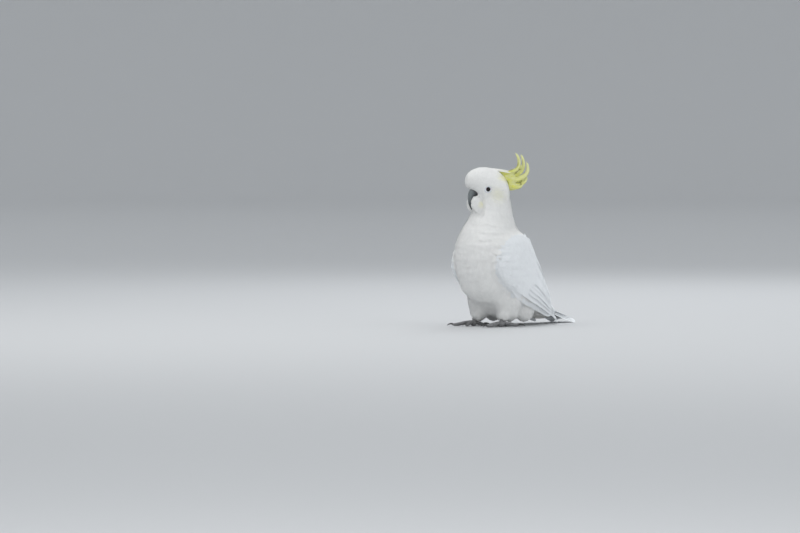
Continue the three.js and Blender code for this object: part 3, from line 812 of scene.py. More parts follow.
# ------------------------------------------------------------------ materials
class Shading:
    """A material and its nodes. A socket takes a value or the output of another node."""

    def __init__(self, name, colour, roughness, **sockets):
        self.material = plain_material(name, colour, roughness)
        self.tree = self.material.node_tree
        self.shader = self.tree.nodes["Principled BSDF"]
        for key, value in sockets.items():
            self.put(self.shader, key.replace("_", " "), value)

    def put(self, node, key, value):
        if isinstance(value, bpy.types.NodeSocket):
            self.tree.links.new(value, node.inputs[key])
        else:
            node.inputs[key].default_value = value

    def add(self, kind, sockets=None, output=0, **settings):
        """The output of a new node."""
        node = self.tree.nodes.new("ShaderNode" + kind)
        for name, value in settings.items():
            setattr(node, name, value)
        for key, value in (sockets or {}).items():
            self.put(node, key, value)
        return node.outputs[output]

    def noise(self, scale, detail, roughness=0.5):
        return self.add("TexNoise", {"Scale": scale, "Detail": detail, "Roughness": roughness}, "Fac")

    def mark(self, name, output="Fac"):
        """The colour that paint() gave each vertex."""
        return self.add("Attribute", output=output, attribute_name=name)

    def math(self, operation, *values):
        return self.add("Math", dict(enumerate(values)), operation=operation)

    def mapped(self, value, low, high, to_low, to_high):
        ends = {"From Min": low, "From Max": high, "To Min": to_low, "To Max": to_high}
        return self.add("MapRange", {"Value": value, **ends})

    def ramp(self, value, low, high, places=(0, 1)):
        """A colour between low and high."""
        colour = self.add("ValToRGB", {"Fac": value})
        for stop, end, place in zip(colour.node.color_ramp.elements, (low, high), places):
            stop.position, stop.color = place, (*end, 1)
        return colour

    def scaled(self, colour, by):
        return self.add("VectorMath", {0: colour, "Scale": by}, operation="SCALE")

    def made(self, colour, height, strength, distance=0.0002):
        """The material, with this colour and a relief by the height."""
        relief = {"Height": height, "Strength": strength, "Distance": distance}
        self.put(self.shader, "Base Color", colour)
        self.put(self.shader, "Normal", self.add("Bump", relief))
        return self.material


def feather_material(name, roughness=0.8, sheen=0.25, barb=0.25, pale_tip=None, barb_rate=260.0):
    """White vane: the feather's own tint, a paler tip if asked for, and fine slanting barbs."""
    soft = dict(Sheen_Weight=sheen, Sheen_Roughness=0.6, Specular_IOR_Level=0.25)
    shading = Shading(name, (0.93, 0.93, 0.92), roughness, **soft)
    tint = shading.mark("Tint", "Color")
    place = shading.add("UVMap", uv_map="Vane")
    across, along, _ = shading.add("SeparateXYZ", {"Vector": place}).node.outputs
    # barbs run out and forwards from the shaft
    lateral = shading.math("ABSOLUTE", shading.math("SUBTRACT", across, 0.5))
    slant = shading.math("MULTIPLY_ADD", lateral, -0.55, along)
    wave = shading.math("SINE", shading.math("MULTIPLY", slant, barb_rate))
    if pale_tip:
        fading = shading.mapped(along, 0.35, 1, 0, 0.75)
        tint = shading.add("MixRGB", {"Fac": fading, "Color1": tint, "Color2": (*pale_tip, 1)})
    mottle = shading.mapped(shading.noise(220, 3), 0.3, 0.7, 0.95, 1.03)
    return shading.made(shading.scaled(tint, mottle), wave, barb, 0.0003)


def horn_material():
    """Dark grey horn, paler on its front and shoulders: partly powder from the plumage, partly a painted
    highlight where the bill faces forwards.
    """
    shading = Shading("bill_horn", (0.06, 0.065, 0.07), 0.34, Specular_IOR_Level=0.4)
    cloud, speck = shading.noise(55, 4, 0.6), shading.noise(900, 2)
    # paler where the bill faces forwards and high up: a painted highlight, with the plumage's powder in part
    dust_and_highlight = shading.math("MULTIPLY", shading.math("MULTIPLY_ADD", speck, 0.5, cloud), shading.mark("DustAndHighlight"))
    colour = shading.ramp(dust_and_highlight, (0.025, 0.026, 0.03), (0.22, 0.245, 0.25), (0, 0.9))
    return shading.made(colour, speck, 0.3)


def cere_material():
    """Dark skin in very small grains."""
    shading = Shading("cere_skin", (0.035, 0.036, 0.04), 0.6)
    colour = shading.ramp(shading.noise(180, 3), (0.02, 0.02, 0.023), (0.075, 0.078, 0.085))
    return shading.made(colour, shading.add("TexVoronoi", {"Scale": 1400}, "Distance"), 0.4)


def eye_material():
    """A nearly black, wet eye with a trace of brown in the iris."""
    shading = Shading("eye_dark", (0.004, 0.003, 0.003), 0.05, Specular_IOR_Level=0.35)
    fibre = shading.math("MULTIPLY", shading.mark("Iris"), shading.noise(1500, 2))
    colour = shading.ramp(fibre, (0.002, 0.0018, 0.002), (0.022, 0.012, 0.008))
    shading.put(shading.shader, "Base Color", colour)
    return shading.material


def claw_material():
    shading = Shading("claw_horn", (0.03, 0.03, 0.033), 0.35)
    streak = shading.noise(300, 3)
    colour = shading.ramp(streak, (0.015, 0.015, 0.017), (0.085, 0.083, 0.08))
    return shading.made(colour, streak, 0.2)


def leg_material():
    """Mid-grey skin in small scales, in paler dusty clouds, with painted shade darkening the grooves between
    the scales.
    """
    shading = Shading("leg_scales", (0.15, 0.15, 0.155), 0.62)
    edge = shading.add("TexVoronoi", {"Scale": 650}, "Distance", feature="DISTANCE_TO_EDGE")
    gap = shading.mapped(edge, 0, 0.12, 0, 1)
    dusty = shading.ramp(shading.noise(130, 3), (0.12, 0.12, 0.125), (0.38, 0.38, 0.385), (0.3, 0.7))
    # the grooves between the scales darkened to 0.45 of the colour: painted shade
    return shading.made(shading.scaled(dusty, shading.mapped(gap, 0, 1, 0.45, 1)), gap, 0.5, 0.0003)


def ring_material():
    """Bare, finely wrinkled, bluish-white skin."""
    soft = dict(Subsurface_Weight=0.1, Subsurface_Scale=0.001)
    shading = Shading("eye_ring_skin", (0.62, 0.67, 0.72), 0.55, **soft)
    fold = shading.noise(900, 3)
    colour = shading.ramp(fold, (0.70, 0.72, 0.76), (0.86, 0.87, 0.90), (0.3, 0.7))
    return shading.made(colour, fold, 0.3)


def skin_material():
    """Pale skin under the down: the coat's own white, so that no gap shows."""
    shading = Shading("skin_white", (0.86, 0.86, 0.84), 0.85)
    cloud = shading.noise(300, 4)
    return shading.made(shading.ramp(cloud, (0.78, 0.78, 0.76), (0.92, 0.92, 0.90)), cloud, 0.4, 0.0004)


# ------------------------------------------------------------------ wings
WING_OUT = 60 * MM  # a wing's outer face is found from this far out


def wing_outward(side, t):
    step = 0.03
    on = np.minimum(t, 1)
    along = wing_point(side, np.minimum(t + step, 1), 0.5) - wing_point(side, on - step, 0.5)
    chord = wing_point(side, on, 1.0) - wing_point(side, on, 0.0)
    outward = unit(np.cross(chord, along))
    return outward * np.sign(outward[..., :1] * SIDES[side])


def on_wing(side, surface, t, c):
    """Points on a wing's outer face at (t, c), and their outward normals."""
    t, c = np.broadcast_arrays(np.asarray(t, float), np.asarray(c, float))
    plane, outward = wing_point(side, t, c), wing_outward(side, t)
    found, normal = plane.copy(), outward.copy()
    for i in np.ndindex(t.shape):
        start, way = plane[i] + outward[i] * WING_OUT, -outward[i]
        hit, hit_normal, _, _ = surface.bvh.ray_cast(start.tolist(), way.tolist(), 1.2 * WING_OUT)
        if hit is not None:
            found[i], normal[i] = hit[:], hit_normal[:]
    smooth = normal.copy()
    smooth[..., 1:-1, :] = normal[..., 1:-1, :] + normal[..., :-2, :] + normal[..., 2:, :]
    return found, unit(unit(smooth) * 0.6 + outward * 0.4)


# Flight feathers, from the wing's lower edge to its upper: shares of its length and depth at root and tip.
SECONDARIES = dict(
    count=14, root=(0.32, 0.36), low=(0.03, 0.99), tip_c=(0.03, 0.93), tips=(0.87, 0.80),
    half_width=(11.5 * MM, 13.5 * MM), lift=-2.1 * MM, gap=0.22 * MM, tip=0.14,
)
PRIMARIES = dict(
    count=10, root=(0.50, 0.62), low=(0.02, 0.55), tip_c=(0.16, 0.80), tips=(1.07, 0.86),
    half_width=(6.5 * MM, 9.5 * MM), lift=-4.2 * MM, gap=0.16 * MM, tip=0.24,
)
FLIGHT_STEPS = 22
TILE_SLOPE = 0.07  # each flight feather's lower edge stands off by this slope, over the next one down
ROOT_SUNK = 2.0 * MM  # a flight feather's root lies this much deeper than its tip


def flight_row(side, surface, row):
    """Paths, normals and half widths of a row of flight feathers."""
    place = np.linspace(0, 1, row["count"])[:, None]
    u = np.linspace(0, 1, FLIGHT_STEPS)[None, :]

    def between(pair):
        return pair[0] + (pair[1] - pair[0]) * place

    t = between(row["root"]) + (between(row["tips"]) - between(row["root"])) * u
    c = between(row["low"]) + (between(row["tip_c"]) - between(row["low"])) * u**1.3
    points, normal = on_wing(side, surface, t, c)
    height = row["lift"] + row["gap"] * place * (row["count"] - 1) - ROOT_SUNK * (1 - u) ** 2
    on = np.minimum(t, 1)
    chord = unit(wing_point(side, on, 1) - wing_point(side, on, 0))
    tiled = unit(normal + TILE_SLOPE * chord)
    return points + normal * height[..., None], tiled, between(row["half_width"])[:, 0]


# Shares of the wing's length, and what the coverts have there: their length and the depth of the coat in
# millimetres, and their half width as a share of their length.
COVERT_LENGTH = [0, 0.08, 0.2, 0.32, 0.45, 0.6, 1], [11, 13, 18, 26, 38, 46, 46]
COVERT_DEPTH = [0, 0.3, 1], [2.6, 3.0, 2.2]
COVERT_WIDTH = [0, 0.3, 0.5], [0.25, 0.25, 0.23]


def covert_length(side, points):
    """Coverts grow from the bend of the wing to the flight feathers."""
    t, _ = wing_place(side, points)
    return np.interp(t, COVERT_LENGTH[0], np.array(COVERT_LENGTH[1]) * MM)


# ------------------------------------------------------------------ lofts
def loft(name, point_at, along, around):
    """A closed mesh over point_at(t, angle), which is a single point at t 0 and at t 1."""
    t = (1 - np.cos(np.pi * np.linspace(0, 1, along + 1)[1:-1])) / 2
    angle = 2 * np.pi * np.arange(around) / around
    grid = point_at(t[:, None] + 0 * angle, angle[None] + 0 * t[:, None]).reshape(-1, 3)
    ends = point_at(np.array([[0.0], [1.0]]), np.zeros((2, 1))).reshape(-1, 3)
    vertices = np.concatenate([grid, ends])
    quads = ring_faces(len(t), around)
    first, last = len(grid), len(grid) + 1
    i = np.arange(around)
    j, row = (i + 1) % around, (len(t) - 1) * around
    caps = np.stack([i * 0 + first, j, i, i * 0 + last, row + i, row + j], -1)
    faces = np.concatenate([quads[:, [0, 1, 2, 0, 2, 3]], caps]).reshape(-1, 3)
    return outwards(add_mesh(name, vertices, faces))


def outwards(obj):
    bm = bmesh.new()
    bm.from_mesh(obj.data)
    bmesh.ops.recalc_face_normals(bm, faces=bm.faces)
    bm.to_mesh(obj.data)
    bm.free()
    return obj


def rounded(t, start, end):
    near = np.minimum(1, np.minimum(t / start, (1 - t) / end))
    return np.sqrt(np.maximum(0, 1 - (1 - near) ** 2))


def power(value, exponent):
    return np.sign(value) * np.abs(value) ** exponent


# ------------------------------------------------------------------ bill
# Outer and inner edges in the head's middle plane and half width, in millimetres, from the root to the tip.
BILL = [
    [27, 306, 15, 290, 10.5],
    [36, 303.5, 19, 287, 10.8],
    [42, 295, 24, 281, 10],
    [43.8, 283, 29, 275, 8],
    [42.5, 270, 33, 267, 5.2],
    [38, 260, 34.5, 260, 2.4],
    [35.5, 256, 34.5, 256, 0.8],
]
LOWER_BILL = [
    [12, 270, 12, 256, 8.5],
    [20, 269, 19, 253, 9.5],
    [29, 267.5, 26, 255, 8.5],
    [33.5, 266, 32, 258, 5],
]
CERE_SHARE = 0.2
NOSTRIL = dict(p=33.2, q=5.2, z=303.2, radius=1.5)


def bill_section(rows, t, angle, ends, grow=0.0):
    outer_p, outer_z, inner_p, inner_z, half = np.moveaxis(station(rows, t), -1, 0)
    full = rounded(t, *ends)
    deep = np.cos(angle) * full
    ridge = 1 - 0.16 * np.maximum(np.cos(angle), 0) ** 3
    wide = power(np.sin(angle), 0.85) * full * ridge
    length = np.hypot(outer_p - inner_p, outer_z - inner_z) / 2
    reach = deep * (1 + grow / length)
    p = (outer_p + inner_p) / 2 + (outer_p - inner_p) / 2 * reach
    z = (outer_z + inner_z) / 2 + (outer_z - inner_z) / 2 * reach
    return p, wide * (half + grow), z


def growth_lines(t, angle):
    """Shallow ridges across the bill, in millimetres."""
    return 0.07 * np.sin(55 * t + 1.5 * np.sin(3 * angle)) * smoothstep(0.15, 0.3, t)


def upper_bill(t, angle):
    p, q, z = bill_section(BILL, t, angle, (0.08, 0.1))
    return on_head(np.stack([p, q * (1 + growth_lines(t, angle) / 10), z], -1))


def lower_bill(t, angle):
    return on_head(np.stack(bill_section(LOWER_BILL, t, angle, (0.08, 0.1)), -1))


def cere(t, angle):
    """The swelling over the root of the upper bill, with a nostril on each side."""
    span = 0.03 + (CERE_SHARE + 0.015) * t
    p, q, z = bill_section(BILL, span, angle, (0.0008, 0.1), grow=0.45)
    full = rounded(t, 0.1, 0.16)
    mid = station(BILL, span)
    mid_p, mid_z = (mid[..., 0] + mid[..., 2]) / 2, (mid[..., 1] + mid[..., 3]) / 2
    wrinkle = 1 + 0.008 * np.sin(9 * angle) * np.sin(6 * t)
    p, q = mid_p + (p - mid_p) * full * wrinkle, q * full * wrinkle
    z = mid_z + (z - mid_z) * full * wrinkle
    from_p, from_q, from_z = p - NOSTRIL["p"], np.abs(q) - NOSTRIL["q"], z - NOSTRIL["z"]
    away = np.sqrt(from_p**2 + from_q**2 + from_z**2)
    pit = 2.2 * smoothstep(NOSTRIL["radius"] * 1.1, NOSTRIL["radius"] * 0.5, away)
    rim = 0.35 * np.exp(-(((away - NOSTRIL["radius"] * 1.35) / 0.5) ** 2))
    out = unit(np.stack([p - mid_p, q, z - mid_z], -1))
    return on_head(np.stack([p, q, z], -1) + out * (rim - pit)[..., None])


def make_bill():
    pieces = [
        loft("bill_upper_horn", upper_bill, 60, 56),
        loft("bill_lower_horn", lower_bill, 30, 40),
        loft("cere_skin", cere, 60, 96),
    ]
    names = ["bill_upper", "bill_lower", "cere"]
    materials = [horn_material(), horn_material(), cere_material()]
    for piece, name, material in zip(pieces, names, materials):
        marked_dust_and_highlight(covered(piece, material))
        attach(piece, "root")
        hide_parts(name)


def marked_dust_and_highlight(piece):
    """Marks the bill's front and shoulders, where it faces forwards, to be paler: partly powder of the
    plumage, partly a painted highlight.
    """
    ahead = normals(piece.data) @ head_forward
    height = in_head(coordinates(piece.data))[:, 2]
    amount = smoothstep(-0.15, 0.75, ahead) * smoothstep(258, 285, height)
    paint(piece.data, "DustAndHighlight", np.repeat(amount[:, None], 3, 1))


# ------------------------------------------------------------------ eyes
EYE_RADIUS = 6.0 * MM
IRIS_OUTER, IRIS_INNER = (0.80, 0.84), (0.965, 0.955)  # cosines from the eye's axis where it fades in and out
# Distance from the eye's middle line and height over its centre, in millimetres, from the lid's edge out.
LID_PROFILE = [
    [4.75, 3.0], [4.9, 3.7], [5.2, 4.15], [5.55, 4.2], [5.8, 3.95], [6.4, 3.75], [7.0, 3.45],
    [7.7, 3.0], [8.5, 2.3], [9.5, 0.9], [10.2, -0.8],
]


def make_eyes():
    for side, sign in SIDES.items():
        ball = eyeball(side, head_left * sign)
        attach(ball, "root")
        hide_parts("eye_" + side)


def eyeball(side, out):
    """A round eye whose iris is marked in a ring round its outward axis."""
    name = "eyeball_" + side
    bm = bmesh.new()
    bmesh.ops.create_icosphere(bm, subdivisions=5, radius=EYE_RADIUS)
    ball = smooth_shaded(placed(name, mesh_of(bm, name)))
    co = coordinates(ball.data)
    facing = (unit(co) * out).sum(-1)
    iris = smoothstep(*IRIS_OUTER, facing) * smoothstep(*IRIS_INNER, facing)
    paint(ball.data, "Iris", np.repeat(iris[:, None], 3, 1))
    set_coordinates(ball.data, co + eyes[side])
    return covered(ball, eye_material())


def eyelid(side, sign):
    """The bare ring round one eye: a thick lid edge and fine folds round it."""
    out = head_left * sign
    up = np.array([0, 0, 1.0])
    ahead = np.cross(up, out)
    profile = np.array(LID_PROFILE)
    share = np.linspace(0, 1, 34)
    rows = station(profile, share)
    angle = 2 * np.pi * np.arange(96) / 96
    radius, height = rows[:, :1] + 0 * angle, rows[:, 1:] + 0 * angle
    fold = smoothstep(0.25, 0.4, share)[:, None] * smoothstep(1.0, 0.8, share)[:, None]
    folds = 0.16 * np.sin(share[:, None] * 46 + 1.2 * np.sin(5 * angle)) + 0.06 * np.sin(31 * angle)
    height = height + fold * folds
    radius = radius * (1 + 0.05 * np.abs(np.cos(angle)) - 0.02)
    points = radius[..., None] * (np.cos(angle)[:, None] * ahead + np.sin(angle)[:, None] * up)
    points = (points + height[..., None] * out) * MM + eyes[side]
    faces = ring_faces(len(share), len(angle))[:, ::sign]
    return outwards(add_mesh("lid_" + side, points.reshape(-1, 3), faces))


# ------------------------------------------------------------------ feathers of the body
TEMPLATES = 8  # different shapes of each kind of feather
BODY_LIFT = 0.003, 0.014, 0.05  # how far tips stand off: always, where ruffled and where loose, of the length
BODY_SPACING, HEAD_SPACING = 0.195, 0.27  # distance between roots, as a share of the feather's length
WIDTH = 0.27  # half width of a body feather, as a share of its length
SMALL = 11 * MM  # feathers under this length have fewer fingers
HIDDEN_IN_HORN = 0.2 * MM  # roots deeper than this in the bill grow nothing
EYE_SIDE = -12 * MM  # a point is on an eye's side of the head from here out, past the eye's middle


def eye_limited(roots, way, length):
    """Shortens the feathers that would lie over the bare ring round an eye."""
    limited = length.copy()
    for side, sign in SIDES.items():
        away = roots - eyes[side]
        flat = np.stack([away @ head_forward, away[:, 2]], -1)
        heading = unit(np.stack([way @ head_forward, way[:, 2]], -1))
        near_side = (away @ head_left) * sign > EYE_SIDE
        ahead = (flat * heading).sum(-1)
        reach = ahead**2 - (flat**2).sum(-1) + EYE_RING**2
        hit = -ahead - np.sqrt(np.maximum(reach, 0))
        blocked = near_side & (reach > 0) & (ahead < 0)
        limited = np.where(blocked, np.minimum(limited, np.maximum(hit, 1.4 * MM)), limited)
    return limited


def in_eye_ring(points):
    ring = np.zeros(len(points), bool)
    for side, sign in SIDES.items():
        away = points - eyes[side]
        near = (away @ head_left) * sign > EYE_SIDE
        ring |= near & (np.hypot(away @ head_forward, away[:, 2]) < EYE_RING)
    return ring


COVERT_END = 0.43  # share of the wing's length where the coverts' roots end on its outer face
TUCKED = 26 * MM  # the body's feathers go on this far under the rear of a wing


def wing_share(points, surfaces):
    """How much each point on the bird belongs to either wing: (left, right)."""
    out = surfaces["body"].signed_distance(points)
    shares = []
    for side in SIDES:
        share = smoothstep(-1 * MM, 6 * MM, out - surfaces["wing_" + side].signed_distance(points))
        near = (share > 0.01) & (out < TUCKED)
        if near.any():
            share[near] *= 1 - tucked_under(side, points[near], out[near], surfaces["all"])
        shares.append(share)
    return shares


def tucked_under(side, points, out, surface):
    """How much each point lies under a wing's rear lower edge, where the body's feathers go on."""
    t, c = wing_place(side, points)
    _, normal, _, _ = surface.nearest(points)
    facing = (normal * wing_outward(side, t)).sum(-1)
    rear = smoothstep(0.36, 0.42, t) * smoothstep(0.6, 0.4, c)
    return smoothstep(0.75, 0.4, facing) * rear * smoothstep(TUCKED, 0.7 * TUCKED, out)


def whole_plan(points, surfaces):
    """Direction, length, depth, half width and wing share of the coat at points on the whole bird."""
    length, depth = coat_size(points)
    way = body_lie(points)
    half = length * WIDTH
    wing = 0
    for side, share in zip(SIDES, wing_share(points, surfaces)):
        on = share > 0.01
        if not on.any():
            continue
        t, c = wing_place(side, points[on])
        w = share[on]
        covert = covert_length(side, points[on])
        length[on] = length[on] * (1 - w) + covert * w
        depth[on] = depth[on] * (1 - w) + np.interp(t, COVERT_DEPTH[0], np.array(COVERT_DEPTH[1]) * MM) * w
        broad = np.interp(t, *COVERT_WIDTH) * (1 - 0.4 * smoothstep(0.75, 1.0, c))
        half[on] = half[on] * (1 - w) + covert * broad * w
        way[on] = unit(way[on] * (1 - w)[:, None] + wing_lie(side)(points[on]) * w[:, None])
        wing = wing + np.where(on, share, 0)
    return way, length, depth, half, wing


def body_roots(surfaces, rng):
    """Roots of the feathers of body and wings, without those that other parts hide."""

    def spacing(points):
        length = whole_plan(points, surfaces)[1]
        share = smoothstep(12 * MM, 20 * MM, length)
        return length * (HEAD_SPACING + (BODY_SPACING - HEAD_SPACING) * share)

    roots = surfaces["all"].scatter(spacing, rng, 9.0)
    keep = ~in_eye_ring(roots)
    keep &= surfaces["horn"].signed_distance(roots) > -HIDDEN_IN_HORN
    for side, share in zip(SIDES, wing_share(roots, surfaces)):
        t, _ = wing_place(side, roots)
        keep &= (share < 0.5) | (t < COVERT_END)
    return roots[keep]


# Where one piece of the coat ends and the next begins, in millimetres of the bird's frame
BACK_FROM, NECK_FROM, FACE_FROM, HEAD_FROM = 20, 208, 250, 262
THIGHS = dict(top=66, inner=11, rear=58)


def region_of(points, wing):
    """Which piece of the coat each root belongs to."""
    x, y, z = in_bird(points).T
    region = np.where(y < BACK_FROM, "breast", "back").astype("U20")
    region[z > NECK_FROM] = "neck"
    region[z > HEAD_FROM] = "head_rear"
    region[(z > FACE_FROM) & (in_head(points)[:, 0] > 2)] = "face"
    region[(z < THIGHS["top"]) & (np.abs(x) > THIGHS["inner"]) & (y < THIGHS["rear"])] = "thighs"
    region[(wing > 0.5) & (x > 0)] = "coverts_left"
    region[(wing > 0.5) & (x < 0)] = "coverts_right"
    return region


def fluff(points):
    """How loose the coat is: 1 on the thighs."""
    _, y, z = in_bird(points).T
    return smoothstep(66, 40, z) * smoothstep(66, 50, y)


# The puffed feathers beside the bill: middle and half sizes of their outline in the head's frame,
# then the depth of the groove round them, its place in half sizes and its width.
CHEEK_PUFF = dict(p=30, z=268.6, half_p=13, half_z=19, groove=2.6, at=1.13, width=0.17)


def creased(obj):
    """Presses in the groove behind and below the puffed feathers that lie against the bill."""
    surface = Surface(obj)
    p, q, z = in_head(surface.co).T
    puff = CHEEK_PUFF
    away = np.hypot((p - puff["p"]) / puff["half_p"], (z - puff["z"]) / puff["half_z"])
    groove = np.exp(-(((away - puff["at"]) / puff["width"]) ** 2))
    behind = smoothstep(puff["p"] + 4, puff["p"] - 4, p) * smoothstep(6, 14, np.abs(q))
    return press(obj, surface, puff["groove"] * MM * groove * behind)


# The rows of the breast's feathers: their direction, the millimetres from one to the next, and their step
WAVE_TURN = math.radians(25)
WAVE_PITCH, WAVE_DEPTH = 16.0, 1.8


def wavy(obj):
    """Presses faint cross waves into the breast and the neck."""
    surface = Surface(obj)
    x, y, z = in_bird(surface.co).T
    across = x * math.cos(WAVE_TURN) + y * math.sin(WAVE_TURN)
    bend = 2.2 * np.sin(across / 13.0 + 0.7) + 1.5 * np.sin(across / 7.1 + z / 21.0)
    wave = np.mod((z + 1.8 * bend) / WAVE_PITCH, 1.0) ** 1.4
    patches = np.sin(across / 17.0 + z / 26.0) + 0.6 * np.sin(across / 9.0 - z / 15.0 + 2.0)
    patchy = smoothstep(-0.5, 0.9, patches)
    where = smoothstep(265, 235, z) * smoothstep(70, 130, z) * smoothstep(60, 0, y)
    depth = (0.15 + 0.85 * patchy) * wave * where * WAVE_DEPTH
    return press(obj, surface, depth * MM)


CREASE_SMOOTHING = 90


def filleted(obj, surfaces):
    """Rounds out the crease between the body and the front of each wing, where feathers bridge it."""
    co = coordinates(obj.data)
    body = np.abs(surfaces["body"].signed_distance(co))
    weight = np.zeros(len(co))
    for side in SIDES:
        wing = np.abs(surfaces["wing_" + side].signed_distance(co))
        t, _ = wing_place(side, co)
        near = smoothstep(14 * MM, 5 * MM, np.maximum(wing, body))
        weight = np.maximum(weight, near * smoothstep(0.46, 0.30, t))
    return smoothed_where(obj, weight, CREASE_SMOOTHING)


# Feathers bridge the creases that are narrower than twice these
BELLY_BRIDGE = 16 * MM  # between belly, thighs and vent
WING_BRIDGE = 6 * MM  # between wings and body
FACE_SMOOTHING, REST_SMOOTHING = 5, 9
BRIDGE_VOXEL = 2.5 * MM


def bridged(name, nodes, reach):
    """The outer surface of nodes with its creases filled: grown by the reach, then drawn back by it."""
    obj = remeshed(joined_nodes(name, nodes), BRIDGE_VOXEL, 6)
    for step in (reach, -reach):
        surface = Surface(obj)
        set_coordinates(obj.data, surface.co + surface.no * step)
        if step > 0:
            remeshed(obj, BRIDGE_VOXEL, 6)
    return remeshed(obj, BRIDGE_VOXEL, 10)


def whole_surface():
    """The outer surface of the whole feathered bird, with the creases under the belly bridged."""
    thighs = ["trunk", "thigh_left", "thigh_right"]
    belly = bridged("belly_bridged", thighs, BELLY_BRIDGE)
    sides = bridged("sides_bridged", thighs + ["wing_left", "wing_right"], WING_BRIDGE)
    whole = joined_nodes("all_outer", FLESH + ["eye_left", "eye_right", "cere"])
    remeshed(joined([whole, belly, sides]), SKIN_VOXEL, FACE_SMOOTHING)
    head = in_head(coordinates(whole.data))
    face = smoothstep(-25, 0, head[:, 0]) * smoothstep(235, 250, head[:, 2])
    return smoothed_where(whole, 1 - face, REST_SMOOTHING)


def plant(coats, roots, surface, lie, sizes, skin_map, tint, rng, shapes, regions):
    """Adds a feather at each root to the coat of its region."""
    length, depth, lift, half, camber, soft = sizes
    path, ups = traced(surface, lie, roots, length, depth, lift)
    patches = map_places(skin_map, roots)
    kind = rng.integers(0, len(shapes), len(roots))
    for region in np.unique(regions):
        for k, shape in enumerate(shapes):
            m = (regions == region) & (kind == k)
            coat = coats.setdefault(str(region), Coat())
            sizes = (half[m], camber[m], half[m] * 0.05)
            coat.add(shape, path[m], ups[m], *sizes, tint[m], patches[m], soft=soft)


def grow_body(surfaces, skin_map, rng):
    roots = body_roots(surfaces, rng)
    way, length, depth, half, wing = whole_plan(roots, surfaces)
    loose = fluff(roots) * (1 - wing)
    stretch = 1 + (0.12 + 0.2 * loose) * rng.uniform(-1, 1, len(roots))
    length = eye_limited(roots, way, length * stretch)
    half = np.maximum(half * (1 - 0.25 * loose), 0.9 * MM)
    x, y, z = in_bird(roots).T
    ruffle = 0.5 + 0.5 * np.sin(x / 9 + 1.3 * np.sin(z / 13)) * np.sin(y / 11 + z / 8)
    least, ruffled, stray = BODY_LIFT
    lift = least + ruffled * ruffle * rng.random(len(roots)) + loose * stray * rng.random(len(roots))
    lift = length * lift
    tint = plumage_tint(roots, rng)
    # the coverts take the painted bluish sky shade of the wings
    sky_tint = PAINTED_SKY_COOL * (1 + 0.02 * rng.uniform(-1, 1, (len(roots), 1)))
    tint = tint * (1 - wing[:, None]) + wing[:, None] * sky_tint

    def lie(points):
        return whole_plan(points, surfaces)[0]

    regions = region_of(roots, wing)
    coats = {}
    small, on_wing_face = length < SMALL, wing > 0.5
    short = [contour_template(rng, 5, 3, 2, 0.55, 0.8) for _ in range(TEMPLATES)]
    long = [contour_template(rng, 9, 4, 3, 0.58, 0.8) for _ in range(TEMPLATES)]
    firm = [covert_template(rng) for _ in range(TEMPLATES)]
    kinds = [
        (small & ~on_wing_face, short, 0.75, 0.10),
        (~small & ~on_wing_face, long, 0.82, 0.14),
        (on_wing_face, firm, 0.6, 0.12),
    ]
    for m, shapes, soft, bow in kinds:
        sizes = (length[m], depth[m], lift[m], half[m], half[m] * bow, soft)
        plant(coats, roots[m], surfaces["all"], lie, sizes, skin_map, tint[m], rng, shapes, regions[m])
    return coats


# ------------------------------------------------------------------ feathers of the wings
def covert_template(rng):
    """A firm rounded feather with a slightly worn edge."""
    shape = Template()
    rings = []
    rounding = 0.72 + 0.28 * np.sin(np.linspace(0, 0.5, 6) * np.pi)
    for t in [*np.linspace(0, 0.72, 5)[:-1], *rounding]:
        end = np.clip((t - 0.66) / 0.34, 0, 1)
        half = vane_width(t, 0.3, 0.4) * math.sqrt(max(1 - end**2.4, 0.0008))
        wear = 0.03 * rng.uniform(-1, 1)
        rings.append(shape.ring(t, -half * (1 + wear), half * (1 - wear), 5))
    shape.strip(rings)
    return shape.done()


# Where coverts grow on a wing's inner face: shares of its length and depth, and how far the face looks out.
INNER_COVERTS = dict(start=0.40, end=0.84, low=0.25, facing=0.25, spacing=0.30)


def bowed(half, radius):
    """How far a feather of this half width bows up when it bends round a radius."""
    return half**2 / (2 * radius)


